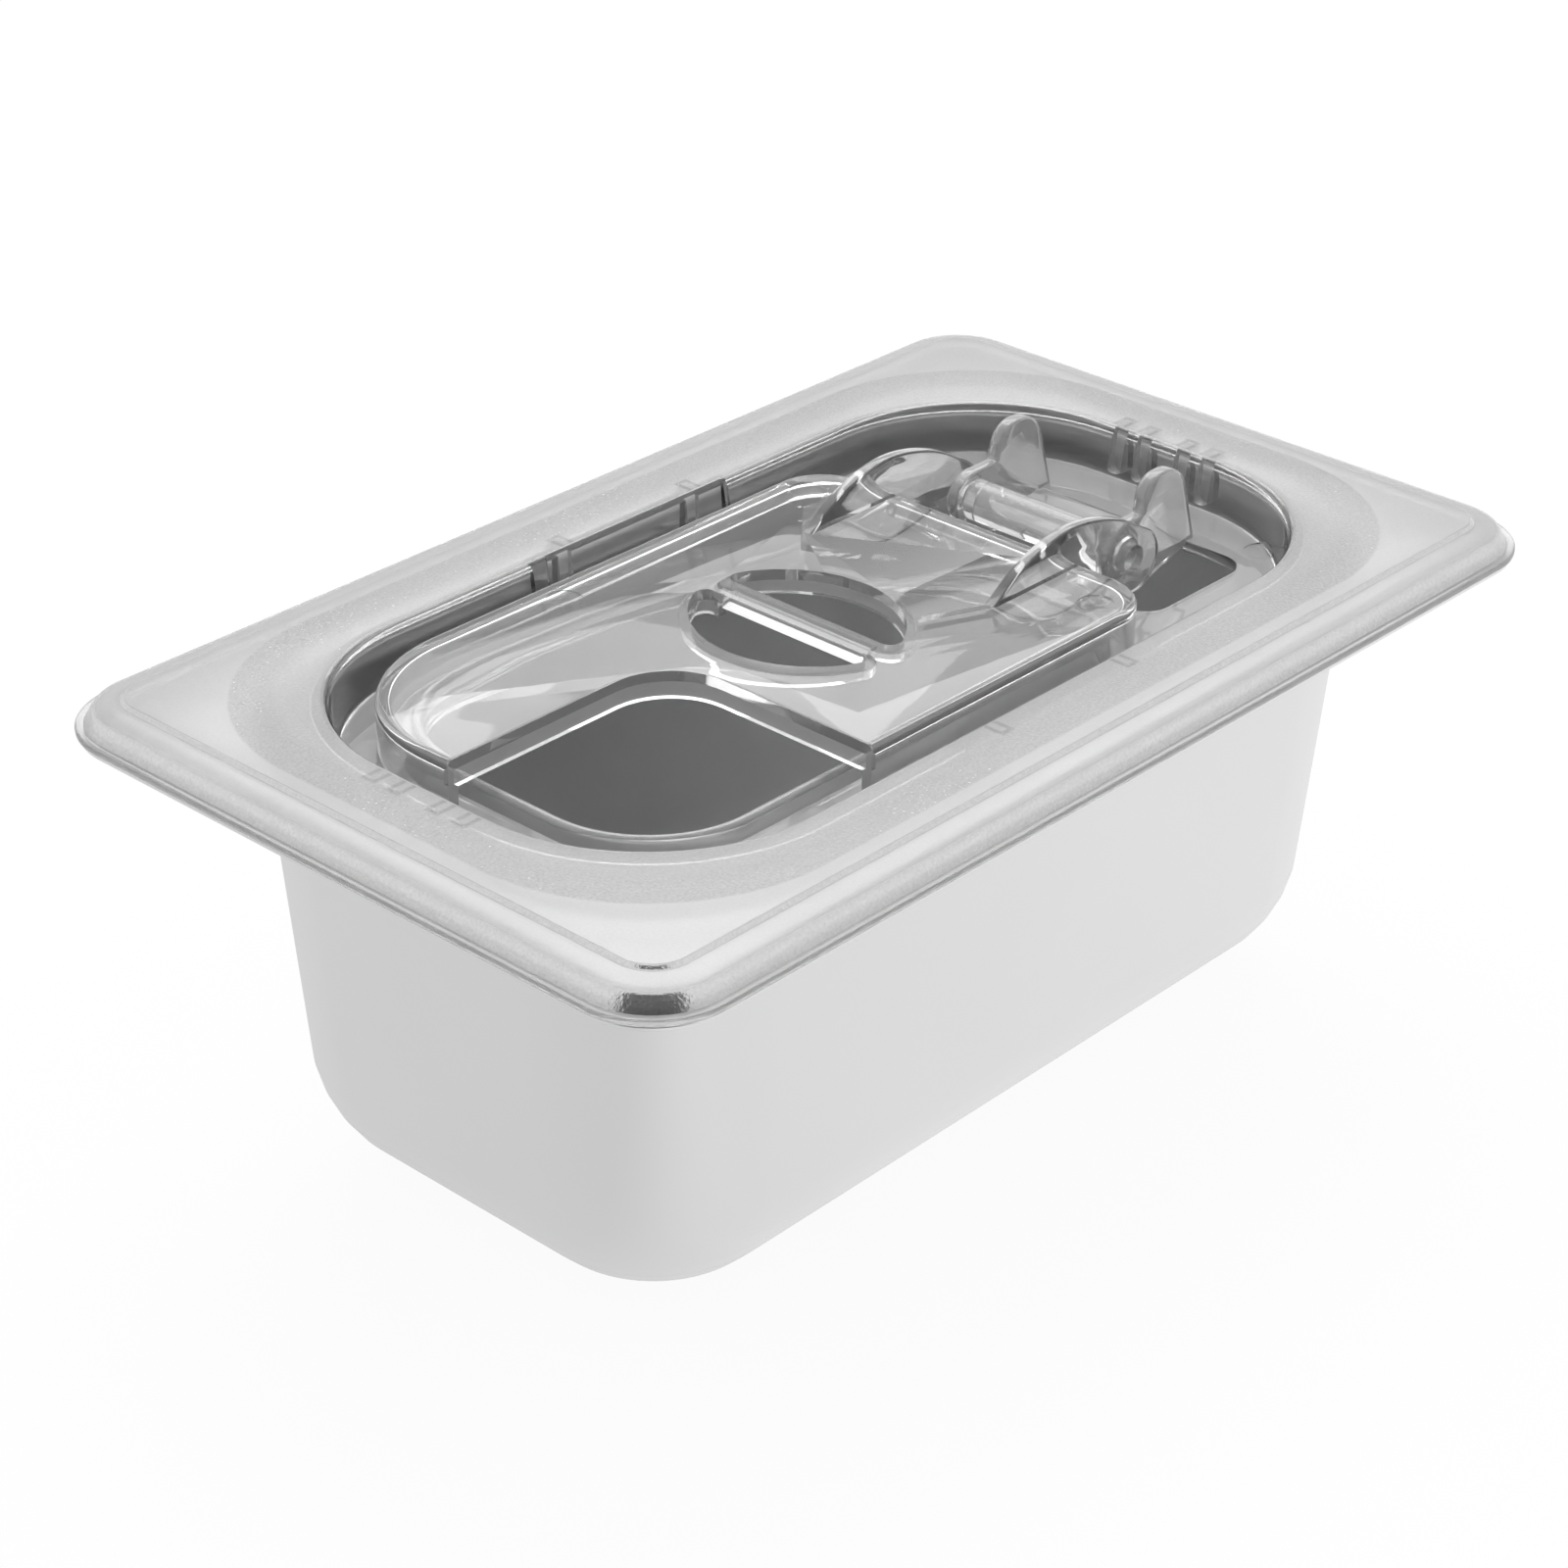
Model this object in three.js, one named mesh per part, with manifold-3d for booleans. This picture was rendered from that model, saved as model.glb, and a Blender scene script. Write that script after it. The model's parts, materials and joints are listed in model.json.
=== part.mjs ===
// A one-ninth size steel food pan with a clear lid: a frosted flange, a sunk well and a hinged flap
// with a spoon notch. Millimetres, +Z up, origin under the middle of the pan's floor, hinge at +X.

import * as THREE from 'three';
import { mergeVertices } from 'three/addons/utils/BufferGeometryUtils.js';
import Module from 'manifold-3d';

// Pan
const PAN_LENGTH = 176;
const PAN_WIDTH = 108;
const PAN_HEIGHT = 64;
const PAN_SHEET = 0.8;
const FLANGE_CORNER = 11;
const FLANGE_REACH = 12;
const BODY_CORNER = 25;
const BODY_DRAFT = 4.8;
const FLOOR_BEND = 19;
const THROAT_BEND = 3;

// Lid base: flange, shoulder and well
const LID_WALL = 1.8;
const LID_RISE = 4.4;
const LIP_OVERHANG = 0.5;
const LIP_HEIGHT = 1;
const LIP_SEAT = 2.4;
const LIP_STEP = 1.1;
const SHOULDER_RUN = 4.6;
const WELL_CORNER = 27;
const WELL_DEPTH = 7.2;
const WELL_DRAFT = 0.9;
const WELL_EDGE = 0.6;
const FLOOR_THICKNESS = 1.6;

// Ribs under the flange that centre the lid in the pan
const RIB_WIDTH = 2.4;
const RIB_REACH = 2.2;
const RIB_FOOT = 1;
const RIB_CLEARANCE = 0.7;
const SIDE_RIB_SPREAD = 25;
const END_RIB_OFFSETS = [3.5, 7.9];

// Widened stretch of the well's long sides
const BAY_MIDDLE = 0.8;
const BAY_LENGTH = 34.5;
const BAY_DEPTH = 1;

// Flap: plate, skirt and notch
const FLAP_MARGIN = 5.8;
const FLAP_FRONT_CORNER = 21.5;
const FLAP_REAR_CORNER = 8;
const FLAP_PLATE = 2;
const FLAP_SKIRT = 1.6;
const FLAP_EDGE = 0.9;
const NOTCH_LENGTH = 38.6;
const NOTCH_WIDTH = 34.9;
const NOTCH_CORNER = 9.5;
const NOTCH_WALL = 1.5;
const NOTCH_CLEARANCE = 0.5;

// Collar round the main opening
const COLLAR_GAP = 2.6;
const COLLAR_WALL = 1.6;
const COLLAR_HEIGHT = 2.7;

// Two finger openings with a bar between them
const GRIP_BAR = 3.9;
const GRIP_DEPTH = 11.5;
const GRIP_WIDTH = 31;
const GRIP_TIP = 1.6;
const GRIP_RIM = 1.4;
const GRIP_RIM_HEIGHT = 1.6;

// Hinge: the space behind the flap, the axis, and the opening in the floor that the knuckles turn in
const HINGE_SPACE = 38.8;
const AXIS_BEHIND_FLAP = 12.4;
const AXIS_BELOW_TOP = 3.9;
const DECK_BEHIND_AXIS = 15.3;
const PIN_RADIUS = 2;
const PIN_CLEARANCE = 0.3;
const OPENING_CLEARANCE = 2.4;
const OPENING_CORNER = 4;

// Hinge ears and tie rod on the base
const EAR_SPAN = 28;
const EAR_THICKNESS = 2;
const EAR_BOSS_WALL = 1.9;
const EAR_HEIGHT = 12.6;
const EAR_FRONT = 5;
const EAR_FOOT = 2.2;
const EAR_LEAN = 4;
const EAR_CROWN = 2.7;
const EAR_DROP = 2;
const ROD_WALL = 0.7;
const TONGUE_REACH = 11;

// Hinge arms on the flap
const ARM_GAP = 1.4;
const ARM_THICKNESS = 1.8;
const ARM_FOOT = 18.4;
const ARM_RISE = 6.2;
const ARM_SLOPE = 35;
const ARM_CREST = 4;
const ARM_FALL = 60;
const KNUCKLE_WALL = 2.7;

// Moulding marks
const MARK_RADIUS = 2.5;
const MARK_DEPTH = 0.15;
const MARK_INSET = 4.8;

// Facets in a quarter turn, the least corner radius, how close points are one point, and how far a cut
// runs past what it cuts
const CORNER_STEPS = 9;
const BEND_STEPS = 6;
const EDGE_STEPS = 3;
const PIN_STEPS = 6;
const LEAST_CORNER = 0.3;
const WELD_DISTANCE = 0.0001;
const PASS = 5;

// Levels and places that follow from the sizes above
const radians = THREE.MathUtils.degToRad;
const WALL_SLOPE = Math.tan(radians(BODY_DRAFT));
const FLANGE_TOP = PAN_HEIGHT;
const LID_TOP = FLANGE_TOP + LID_RISE;
const WELL_FLOOR = LID_TOP - WELL_DEPTH;
const FLOOR_UNDER = WELL_FLOOR - FLOOR_THICKNESS;
const COLLAR_TOP = WELL_FLOOR + COLLAR_HEIGHT;
const WELL_INSET = FLANGE_REACH + PAN_SHEET + RIB_CLEARANCE + RIB_REACH + LID_WALL;
const WELL_HALF_LENGTH = PAN_LENGTH / 2 - WELL_INSET;
const WELL_HALF_WIDTH = PAN_WIDTH / 2 - WELL_INSET;
const FLAP_TOP = LID_TOP;
const PLATE_UNDER = FLAP_TOP - FLAP_PLATE;
const FLAP_FRONT = FLAP_MARGIN - WELL_HALF_LENGTH;
const FLAP_REAR = WELL_HALF_LENGTH - HINGE_SPACE;
const FLAP_HALF_WIDTH = WELL_HALF_WIDTH - FLAP_MARGIN;
const COLLAR_INSET = FLAP_SKIRT + COLLAR_GAP;
const NOTCH_X = FLAP_FRONT + NOTCH_LENGTH;
const NOTCH_Y = NOTCH_WIDTH - FLAP_HALF_WIDTH;
const ARM_TIP = FLAP_REAR - ARM_FOOT;
const GRIP_X = (NOTCH_X + ARM_TIP) / 2;
const AXIS_X = FLAP_REAR + AXIS_BEHIND_FLAP;
const AXIS_Z = FLAP_TOP - AXIS_BELOW_TOP;
const DECK_EDGE = AXIS_X + DECK_BEHIND_AXIS;
const SOCKET_RADIUS = PIN_RADIUS + PIN_CLEARANCE;
const KNUCKLE_RADIUS = PIN_RADIUS + KNUCKLE_WALL;
const EAR_OUTSIDE = EAR_SPAN / 2;
const EAR_INSIDE = EAR_OUTSIDE - EAR_THICKNESS;
const ARM_INSIDE = EAR_OUTSIDE + ARM_GAP;

const wasm = await Module();
wasm.setup();

// A closed geometry as a solid for joining and cutting
function solid(geometry) {
  const bare = geometry.clone();
  bare.deleteAttribute('normal');
  bare.deleteAttribute('uv');
  const welded = mergeVertices(bare, WELD_DISTANCE);
  const mesh = new wasm.Mesh({
    numProp: 3,
    vertProperties: new Float32Array(welded.attributes.position.array),
    triVerts: new Uint32Array(welded.index.array),
  });
  return new wasm.Manifold(mesh);
}

// A solid back as a geometry
function geometryOf(body) {
  const mesh = body.getMesh();
  const geometry = new THREE.BufferGeometry();
  geometry.setAttribute('position', new THREE.BufferAttribute(new Float32Array(mesh.vertProperties), 3));
  geometry.setIndex(new THREE.BufferAttribute(new Uint32Array(mesh.triVerts), 1));
  geometry.computeVertexNormals();
  return geometry;
}

// What a function gives for each step of a quarter turn
function quarterTurn(steps, make) {
  return Array.from({ length: steps + 1 }, (_, i) => make(i / steps * Math.PI / 2));
}

// Points of a quarter circle, from a whole number of quarters
function quarter(x, y, radius, start) {
  return quarterTurn(CORNER_STEPS, (turn) => {
    const angle = start * Math.PI / 2 + turn;
    return new THREE.Vector2(x + radius * Math.cos(angle), y + radius * Math.sin(angle));
  });
}

// A rounded plan outline, anticlockwise, with its own corner radius at the front (-X) and the rear (+X)
function outline(front, rear, halfWidth, frontCorner, rearCorner) {
  const rf = Math.max(frontCorner, LEAST_CORNER);
  const rr = Math.max(rearCorner, LEAST_CORNER);
  return [
    ...quarter(rear - rr, halfWidth - rr, rr, 0),
    ...quarter(front + rf, halfWidth - rf, rf, 1),
    ...quarter(front + rf, rf - halfWidth, rf, 2),
    ...quarter(rear - rr, rr - halfWidth, rr, 3),
  ];
}

// A rounded outline centred on the origin, at a height
function ring(halfLength, halfWidth, corner, z) {
  return { points: outline(-halfLength, halfLength, halfWidth, corner, corner), z };
}

// A solid through a stack of outlines with equal counts, from the one facing down to the one facing up
function loft(rings) {
  const count = rings[0].points.length;
  const positions = rings.flatMap(({ points, z }) => points.flatMap((p) => [p.x, p.y, z]));
  const index = [];
  for (let level = 0; level + 1 < rings.length; level += 1) {
    for (let i = 0; i < count; i += 1) {
      const a = level * count + i;
      const b = level * count + (i + 1) % count;
      index.push(a, b, b + count, a, b + count, a + count);
    }
  }
  const last = (rings.length - 1) * count;
  for (const [a, b, c] of THREE.ShapeUtils.triangulateShape(rings[0].points, [])) {
    index.push(a, c, b);
  }
  for (const [a, b, c] of THREE.ShapeUtils.triangulateShape(rings.at(-1).points, [])) {
    index.push(last + a, last + b, last + c);
  }
  const geometry = new THREE.BufferGeometry();
  geometry.setAttribute('position', new THREE.Float32BufferAttribute(positions, 3));
  geometry.setIndex(index);
  return solid(geometry);
}

// A plan outline between two levels
function prism(points, low, high) {
  return loft([{ points, z: low }, { points, z: high }]);
}

// A side-view outline in X and Z, given a thickness across Y
function sidePlate(shape, nearY, thickness) {
  const geometry = new THREE.ExtrudeGeometry(shape, {
    depth: thickness,
    bevelEnabled: false,
    curveSegments: 2 * PIN_STEPS,
  });
  geometry.rotateX(Math.PI / 2);
  geometry.translate(0, nearY + thickness, 0);
  return solid(geometry);
}

// A round bar on the hinge axis, between two places across it
function barOnAxis(radius, endA, endB) {
  const geometry = new THREE.CylinderGeometry(radius, radius, Math.abs(endB - endA), 4 * PIN_STEPS);
  geometry.translate(AXIS_X, (endA + endB) / 2, AXIS_Z);
  return solid(geometry);
}

// A box between two opposite corners, in any order
function box(cornerA, cornerB) {
  const bounds = new THREE.Box3().setFromPoints([cornerA, cornerB]);
  const size = bounds.getSize(new THREE.Vector3());
  const geometry = new THREE.BoxGeometry(size.x, size.y, size.z);
  geometry.translate(...bounds.getCenter(new THREE.Vector3()));
  return solid(geometry);
}

// A shallow round moulding mark
function mark(x, y, top) {
  const geometry = new THREE.CylinderGeometry(MARK_RADIUS, MARK_RADIUS, 2 * MARK_DEPTH, 4 * PIN_STEPS);
  geometry.rotateX(Math.PI / 2);
  geometry.translate(x, y, top);
  return solid(geometry);
}

// The pan's body outline, moved in from the flange's edge, with corners that stay concentric
function bodyRing(inset, z) {
  const corner = BODY_CORNER + FLANGE_REACH - inset;
  return ring(PAN_LENGTH / 2 - inset, PAN_WIDTH / 2 - inset, corner, z);
}

// How far the outside of the drafted wall lies inside the flange's edge
function wallInset(height) {
  return FLANGE_REACH + WALL_SLOPE * (PAN_HEIGHT - height);
}

// The bend between floor and wall, from the floor up, for the skin at a depth in the sheet
function floorBend(depth) {
  const radius = FLOOR_BEND - depth;
  const spring = wallInset(FLOOR_BEND) + depth;
  return quarterTurn(BEND_STEPS, (turn) => bodyRing(
    spring + radius * (1 - Math.sin(turn)),
    FLOOR_BEND - radius * Math.cos(turn),
  ));
}

// The bend between wall and flange, from the wall up, for the skin at a depth in the sheet
function throatBend(depth) {
  const radius = THROAT_BEND + depth;
  const middle = FLANGE_TOP - PAN_SHEET - THROAT_BEND;
  const centre = wallInset(middle) - THROAT_BEND;
  return quarterTurn(BEND_STEPS, (turn) => bodyRing(
    centre + radius * Math.cos(turn),
    middle + radius * Math.sin(turn),
  ));
}

function makePan() {
  return loft([
    ...floorBend(0),
    ...throatBend(0),
    ring(PAN_LENGTH / 2, PAN_WIDTH / 2, FLANGE_CORNER, FLANGE_TOP - PAN_SHEET),
    ring(PAN_LENGTH / 2, PAN_WIDTH / 2, FLANGE_CORNER, FLANGE_TOP),
    ...throatBend(PAN_SHEET).reverse(),
    ...floorBend(PAN_SHEET).reverse(),
  ]);
}

// The lid's outline at a depth inside the lip's outer edge
function lidRing(inset, z) {
  const grow = LIP_OVERHANG - inset;
  return ring(PAN_LENGTH / 2 + grow, PAN_WIDTH / 2 + grow, FLANGE_CORNER + grow, z);
}

// The well's outline, moved out from its rim
function wellRing(outward, z) {
  return ring(WELL_HALF_LENGTH + outward, WELL_HALF_WIDTH + outward, WELL_CORNER + outward, z);
}

// The rounded shoulder between the lip's step and the flat top
function shoulder() {
  const foot = FLANGE_TOP + LIP_HEIGHT;
  return quarterTurn(BEND_STEPS, (turn) => lidRing(
    LIP_STEP + SHOULDER_RUN * (1 - Math.cos(turn)),
    foot + (LID_TOP - foot) * Math.sin(turn),
  ));
}

// The rounded edge where the flat top turns down into the well
function wellEdge() {
  return quarterTurn(EDGE_STEPS, (turn) => wellRing(
    WELL_EDGE * (1 - Math.sin(turn)),
    LID_TOP - WELL_EDGE * (1 - Math.cos(turn)),
  ));
}

function lidShell() {
  const under = LID_TOP - LID_WALL;
  return loft([
    wellRing(LID_WALL - WELL_DRAFT, FLOOR_UNDER),
    wellRing(LID_WALL, under),
    lidRing(LIP_STEP + SHOULDER_RUN, under),
    lidRing(LIP_SEAT, FLANGE_TOP + LIP_HEIGHT),
    lidRing(LIP_SEAT, FLANGE_TOP),
    lidRing(0, FLANGE_TOP),
    lidRing(0, FLANGE_TOP + LIP_HEIGHT),
    ...shoulder(),
    ...wellEdge(),
    wellRing(-WELL_DRAFT, WELL_FLOOR),
  ]);
}

// A drafted block on one long side of the well, from inside the wall or the well out to the bay
function bayBlock(side, grow, insideY, low, high) {
  const rectangle = (outY) => {
    const [lowX, highX] = [BAY_MIDDLE - BAY_LENGTH / 2 - grow, BAY_MIDDLE + BAY_LENGTH / 2 + grow];
    const [lowY, highY] = [side * insideY, side * outY].sort((a, b) => a - b);
    const corners = [[lowX, lowY], [highX, lowY], [highX, highY], [lowX, highY]];
    return corners.map(([x, y]) => new THREE.Vector2(x, y));
  };
  const outside = WELL_HALF_WIDTH + BAY_DEPTH + grow;
  return loft([
    { points: rectangle(outside - WELL_DRAFT), z: low },
    { points: rectangle(outside), z: high },
  ]);
}

// Ribs on the outside of the well's ends and bays, under the flange
function ribs() {
  const low = FLOOR_UNDER + RIB_FOOT;
  const high = LID_TOP - LID_WALL / 2;
  const half = RIB_WIDTH / 2;
  const made = [];
  for (const side of [-1, 1]) {
    const endWall = side * (WELL_HALF_LENGTH + LID_WALL / 2);
    const endTip = side * (WELL_HALF_LENGTH + LID_WALL + RIB_REACH);
    for (const y of END_RIB_OFFSETS.flatMap((offset) => [-offset, offset])) {
      made.push(box(new THREE.Vector3(endWall, y - half, low), new THREE.Vector3(endTip, y + half, high)));
    }
    const bayWall = side * (WELL_HALF_WIDTH + BAY_DEPTH + LID_WALL / 2);
    const bayTip = side * (WELL_HALF_WIDTH + LID_WALL + RIB_REACH);
    for (const x of [BAY_MIDDLE - SIDE_RIB_SPREAD / 2, BAY_MIDDLE + SIDE_RIB_SPREAD / 2]) {
      made.push(box(new THREE.Vector3(x - half, bayWall, low), new THREE.Vector3(x + half, bayTip, high)));
    }
  }
  return made;
}

// The flap's outline, moved inwards
function flapPlan(inset) {
  return outline(
    FLAP_FRONT + inset,
    FLAP_REAR - inset,
    FLAP_HALF_WIDTH - inset,
    FLAP_FRONT_CORNER - inset,
    FLAP_REAR_CORNER - inset,
  );
}

// The opening in the floor behind the collar
function hingeOpeningPlan() {
  const start = AXIS_X - KNUCKLE_RADIUS - OPENING_CLEARANCE;
  const halfWidth = FLAP_HALF_WIDTH - COLLAR_INSET - COLLAR_WALL;
  return outline(start, DECK_EDGE, halfWidth, OPENING_CORNER, OPENING_CORNER);
}

// Side view of an ear: a boss round the pin, an upright stop behind it and a foot on the deck
function earShape() {
  const foot = DECK_EDGE + EAR_FOOT;
  const back = foot - EAR_LEAN;
  const front = AXIS_X + EAR_FRONT;
  const crown = WELL_FLOOR + EAR_HEIGHT;
  const boss = SOCKET_RADIUS + EAR_BOSS_WALL;
  const shape = new THREE.Shape();
  shape.moveTo(foot, FLOOR_UNDER);
  shape.lineTo(back, crown - EAR_CROWN);
  shape.quadraticCurveTo(back, crown, (front + back) / 2, crown);
  shape.quadraticCurveTo(front, crown, front, crown - EAR_CROWN);
  shape.lineTo(front, AXIS_Z + boss);
  shape.absarc(AXIS_X, AXIS_Z, boss, Math.PI / 2, Math.PI * 3 / 2, false);
  shape.lineTo(front, FLOOR_UNDER - EAR_DROP);
  shape.lineTo(DECK_EDGE, FLOOR_UNDER);
  const socket = new THREE.Path();
  socket.absarc(AXIS_X, AXIS_Z, SOCKET_RADIUS, 0, 2 * Math.PI, true);
  shape.holes.push(socket);
  return shape;
}

function makeBase() {
  const wallMiddle = WELL_HALF_WIDTH + (LID_WALL - WELL_DRAFT) / 2;
  let body = lidShell();
  for (const side of [-1, 1]) {
    body = body.add(bayBlock(side, LID_WALL, wallMiddle, FLOOR_UNDER, LID_TOP - LID_WALL / 2));
    body = body.subtract(bayBlock(side, 0, FLAP_HALF_WIDTH, WELL_FLOOR, LID_TOP + PASS));
  }
  for (const rib of ribs()) {
    body = body.add(rib);
  }
  body = body.add(prism(flapPlan(COLLAR_INSET), FLOOR_UNDER, COLLAR_TOP));
  body = body.subtract(prism(flapPlan(COLLAR_INSET + COLLAR_WALL), FLOOR_UNDER - PASS, COLLAR_TOP + PASS));
  body = body.subtract(prism(hingeOpeningPlan(), FLOOR_UNDER - PASS, WELL_FLOOR + PASS));
  for (const nearY of [-EAR_OUTSIDE, EAR_INSIDE]) {
    body = body.add(sidePlate(earShape(), nearY, EAR_THICKNESS));
  }
  body = body.add(barOnAxis(SOCKET_RADIUS + ROD_WALL, -EAR_INSIDE, EAR_INSIDE));
  body = body.add(box(
    new THREE.Vector3(DECK_EDGE - TONGUE_REACH, -EAR_INSIDE, FLOOR_UNDER),
    new THREE.Vector3(DECK_EDGE + EAR_FOOT, EAR_INSIDE, WELL_FLOOR),
  ));
  for (const side of [-1, 1]) {
    body = body.subtract(mark(DECK_EDGE + MARK_INSET, side * (EAR_OUTSIDE + 2 * MARK_INSET), WELL_FLOOR));
  }
  return body;
}

// The rounded top edge of the flap, from its side up to the flat
function flapEdge() {
  return quarterTurn(EDGE_STEPS, (turn) => ({
    points: flapPlan(FLAP_EDGE * (1 - Math.cos(turn))),
    z: FLAP_TOP - FLAP_EDGE * (1 - Math.sin(turn)),
  }));
}

// The corner that the notch takes out of the flap, moved towards the flap's middle
function notchPlan(inset) {
  const [cornerX, cornerY] = [NOTCH_X + inset, NOTCH_Y + inset];
  const radius = NOTCH_CORNER + inset;
  const [outX, outY] = [FLAP_FRONT - PASS, -FLAP_HALF_WIDTH - PASS];
  return [
    new THREE.Vector2(outX, outY),
    new THREE.Vector2(cornerX, outY),
    ...quarter(cornerX - radius, cornerY - radius, radius, 0),
    new THREE.Vector2(outX, cornerY),
  ];
}

// One finger opening: a straight side along the bar and a round far side, all moved outwards
function gripPlan(side, outward) {
  const half = GRIP_WIDTH / 2;
  const arc = (half * half + GRIP_DEPTH * GRIP_DEPTH) / (2 * GRIP_DEPTH);
  const centre = GRIP_BAR / 2 + GRIP_DEPTH - arc;
  const tipX = GRIP_BAR / 2 + GRIP_TIP;
  const tipY = Math.sqrt((arc - GRIP_TIP) ** 2 - (tipX - centre) ** 2);
  const lean = Math.atan2(tipY, tipX - centre);
  const shape = new THREE.Shape();
  shape.absarc(centre, 0, arc + outward, -lean, lean, false);
  shape.absarc(tipX, tipY, GRIP_TIP + outward, lean, Math.PI, false);
  shape.absarc(tipX, -tipY, GRIP_TIP + outward, Math.PI, 2 * Math.PI - lean, false);
  const points = shape.extractPoints(PIN_STEPS).shape;
  const placed = points.map((p) => new THREE.Vector2(GRIP_X + side * p.x, p.y));
  return side < 0 ? placed.reverse() : placed;
}

// Side view of a hinge arm: a foot on the plate, a crest and a knuckle round the axis
function armShape() {
  const crest = FLAP_TOP + ARM_RISE;
  const fall = radians(ARM_FALL);
  const knuckleX = AXIS_X + KNUCKLE_RADIUS * Math.cos(fall);
  const knuckleZ = AXIS_Z + KNUCKLE_RADIUS * Math.sin(fall);
  const riseX = ARM_TIP + ARM_RISE / Math.tan(radians(ARM_SLOPE));
  const fallX = knuckleX - (crest - knuckleZ) * Math.tan(fall);
  const insideSkirt = FLAP_REAR - FLAP_SKIRT / 2;
  const insidePlate = FLAP_TOP - FLAP_PLATE / 2;
  const shape = new THREE.Shape();
  shape.moveTo(ARM_TIP, FLAP_TOP);
  shape.quadraticCurveTo(riseX, crest, FLAP_REAR - ARM_CREST, crest);
  shape.quadraticCurveTo(fallX, crest, knuckleX, knuckleZ);
  shape.absarc(AXIS_X, AXIS_Z, KNUCKLE_RADIUS, fall, fall - Math.PI, true);
  shape.lineTo(insideSkirt, PLATE_UNDER - FLAP_SKIRT);
  shape.lineTo(insideSkirt, insidePlate);
  shape.lineTo(ARM_TIP, insidePlate);
  return shape;
}

function makeFlap() {
  const inside = flapPlan(FLAP_SKIRT);
  const insidePlate = FLAP_TOP - FLAP_PLATE / 2;
  let body = loft([
    { points: inside, z: PLATE_UNDER },
    { points: inside, z: WELL_FLOOR },
    { points: flapPlan(0), z: WELL_FLOOR },
    ...flapEdge(),
  ]);
  const wall = prism(notchPlan(NOTCH_WALL), COLLAR_TOP + NOTCH_CLEARANCE, insidePlate);
  body = body.add(wall.intersect(prism(flapPlan(FLAP_SKIRT / 2), WELL_FLOOR, FLAP_TOP)));
  const rimLow = PLATE_UNDER - GRIP_RIM_HEIGHT;
  for (const side of [-1, 1]) {
    body = body.add(prism(gripPlan(side, GRIP_RIM), rimLow, insidePlate));
  }
  for (const side of [-1, 1]) {
    body = body.subtract(prism(gripPlan(side, 0), rimLow - PASS, FLAP_TOP + PASS));
  }
  body = body.subtract(prism(notchPlan(0), WELL_FLOOR - PASS, FLAP_TOP + PASS));
  for (const nearY of [-ARM_INSIDE - ARM_THICKNESS, ARM_INSIDE]) {
    body = body.add(sidePlate(armShape(), nearY, ARM_THICKNESS));
  }
  for (const side of [-1, 1]) {
    const pinEnd = side * (EAR_INSIDE + PIN_CLEARANCE);
    body = body.add(barOnAxis(PIN_RADIUS, pinEnd, side * (ARM_INSIDE + ARM_THICKNESS / 2)));
  }
  const markY = FLAP_HALF_WIDTH - MARK_INSET;
  const rearMark = FLAP_REAR - FLAP_REAR_CORNER;
  const frontMark = NOTCH_X + MARK_RADIUS;
  for (const [x, y] of [[rearMark, markY], [rearMark, -markY], [frontMark, markY]]) {
    body = body.subtract(mark(x, y, FLAP_TOP));
  }
  return body;
}

// A named piece with its own finish
function piece(name, body, finish) {
  const mesh = new THREE.Mesh(geometryOf(body), new THREE.MeshStandardMaterial(finish));
  mesh.name = name;
  return mesh;
}

const hotelPan = new THREE.Group();
hotelPan.add(piece('pan', makePan(), { color: 0xc9cacb, roughness: 0.38, metalness: 1 }));
hotelPan.add(piece('lid_base', makeBase(), {
  color: 0xdfe1e2,
  roughness: 0.3,
  metalness: 0,
  transparent: true,
  opacity: 0.45,
}));
hotelPan.add(piece('lid_flap', makeFlap(), {
  color: 0xe8eaeb,
  roughness: 0.12,
  metalness: 0,
  transparent: true,
  opacity: 0.35,
}));

export default hotelPan;
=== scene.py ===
"""A one-ninth size steel food pan with a lid: frosted flange, sunk well and hinged flap."""

import json
import math

import bmesh
import bpy
from bmesh.types import BMEdge, BMFace, BMVert
from bpy.props import FloatProperty, FloatVectorProperty, IntProperty, PointerProperty
from mathutils import Matrix, Quaternion, Vector, geometry


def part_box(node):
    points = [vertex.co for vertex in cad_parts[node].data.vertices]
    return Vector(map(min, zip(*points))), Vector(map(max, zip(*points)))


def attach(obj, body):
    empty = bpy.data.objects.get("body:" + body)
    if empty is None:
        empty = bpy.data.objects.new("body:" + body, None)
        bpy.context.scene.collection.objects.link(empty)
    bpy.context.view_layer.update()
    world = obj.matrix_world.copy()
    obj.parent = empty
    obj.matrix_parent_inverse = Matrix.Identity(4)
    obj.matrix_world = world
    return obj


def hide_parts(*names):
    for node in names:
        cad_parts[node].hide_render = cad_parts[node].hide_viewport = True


bl_info = {
    "name": "Food pan with a hinged lid",
    "version": (1, 0, 0),
    "blender": (4, 5, 0),
    "location": "3D View > Sidebar > Food pan",
    "description": "Dresses the packed pan in drawn steel and its lid in clear and frosted plastic",
    "category": "Object",
}

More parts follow.
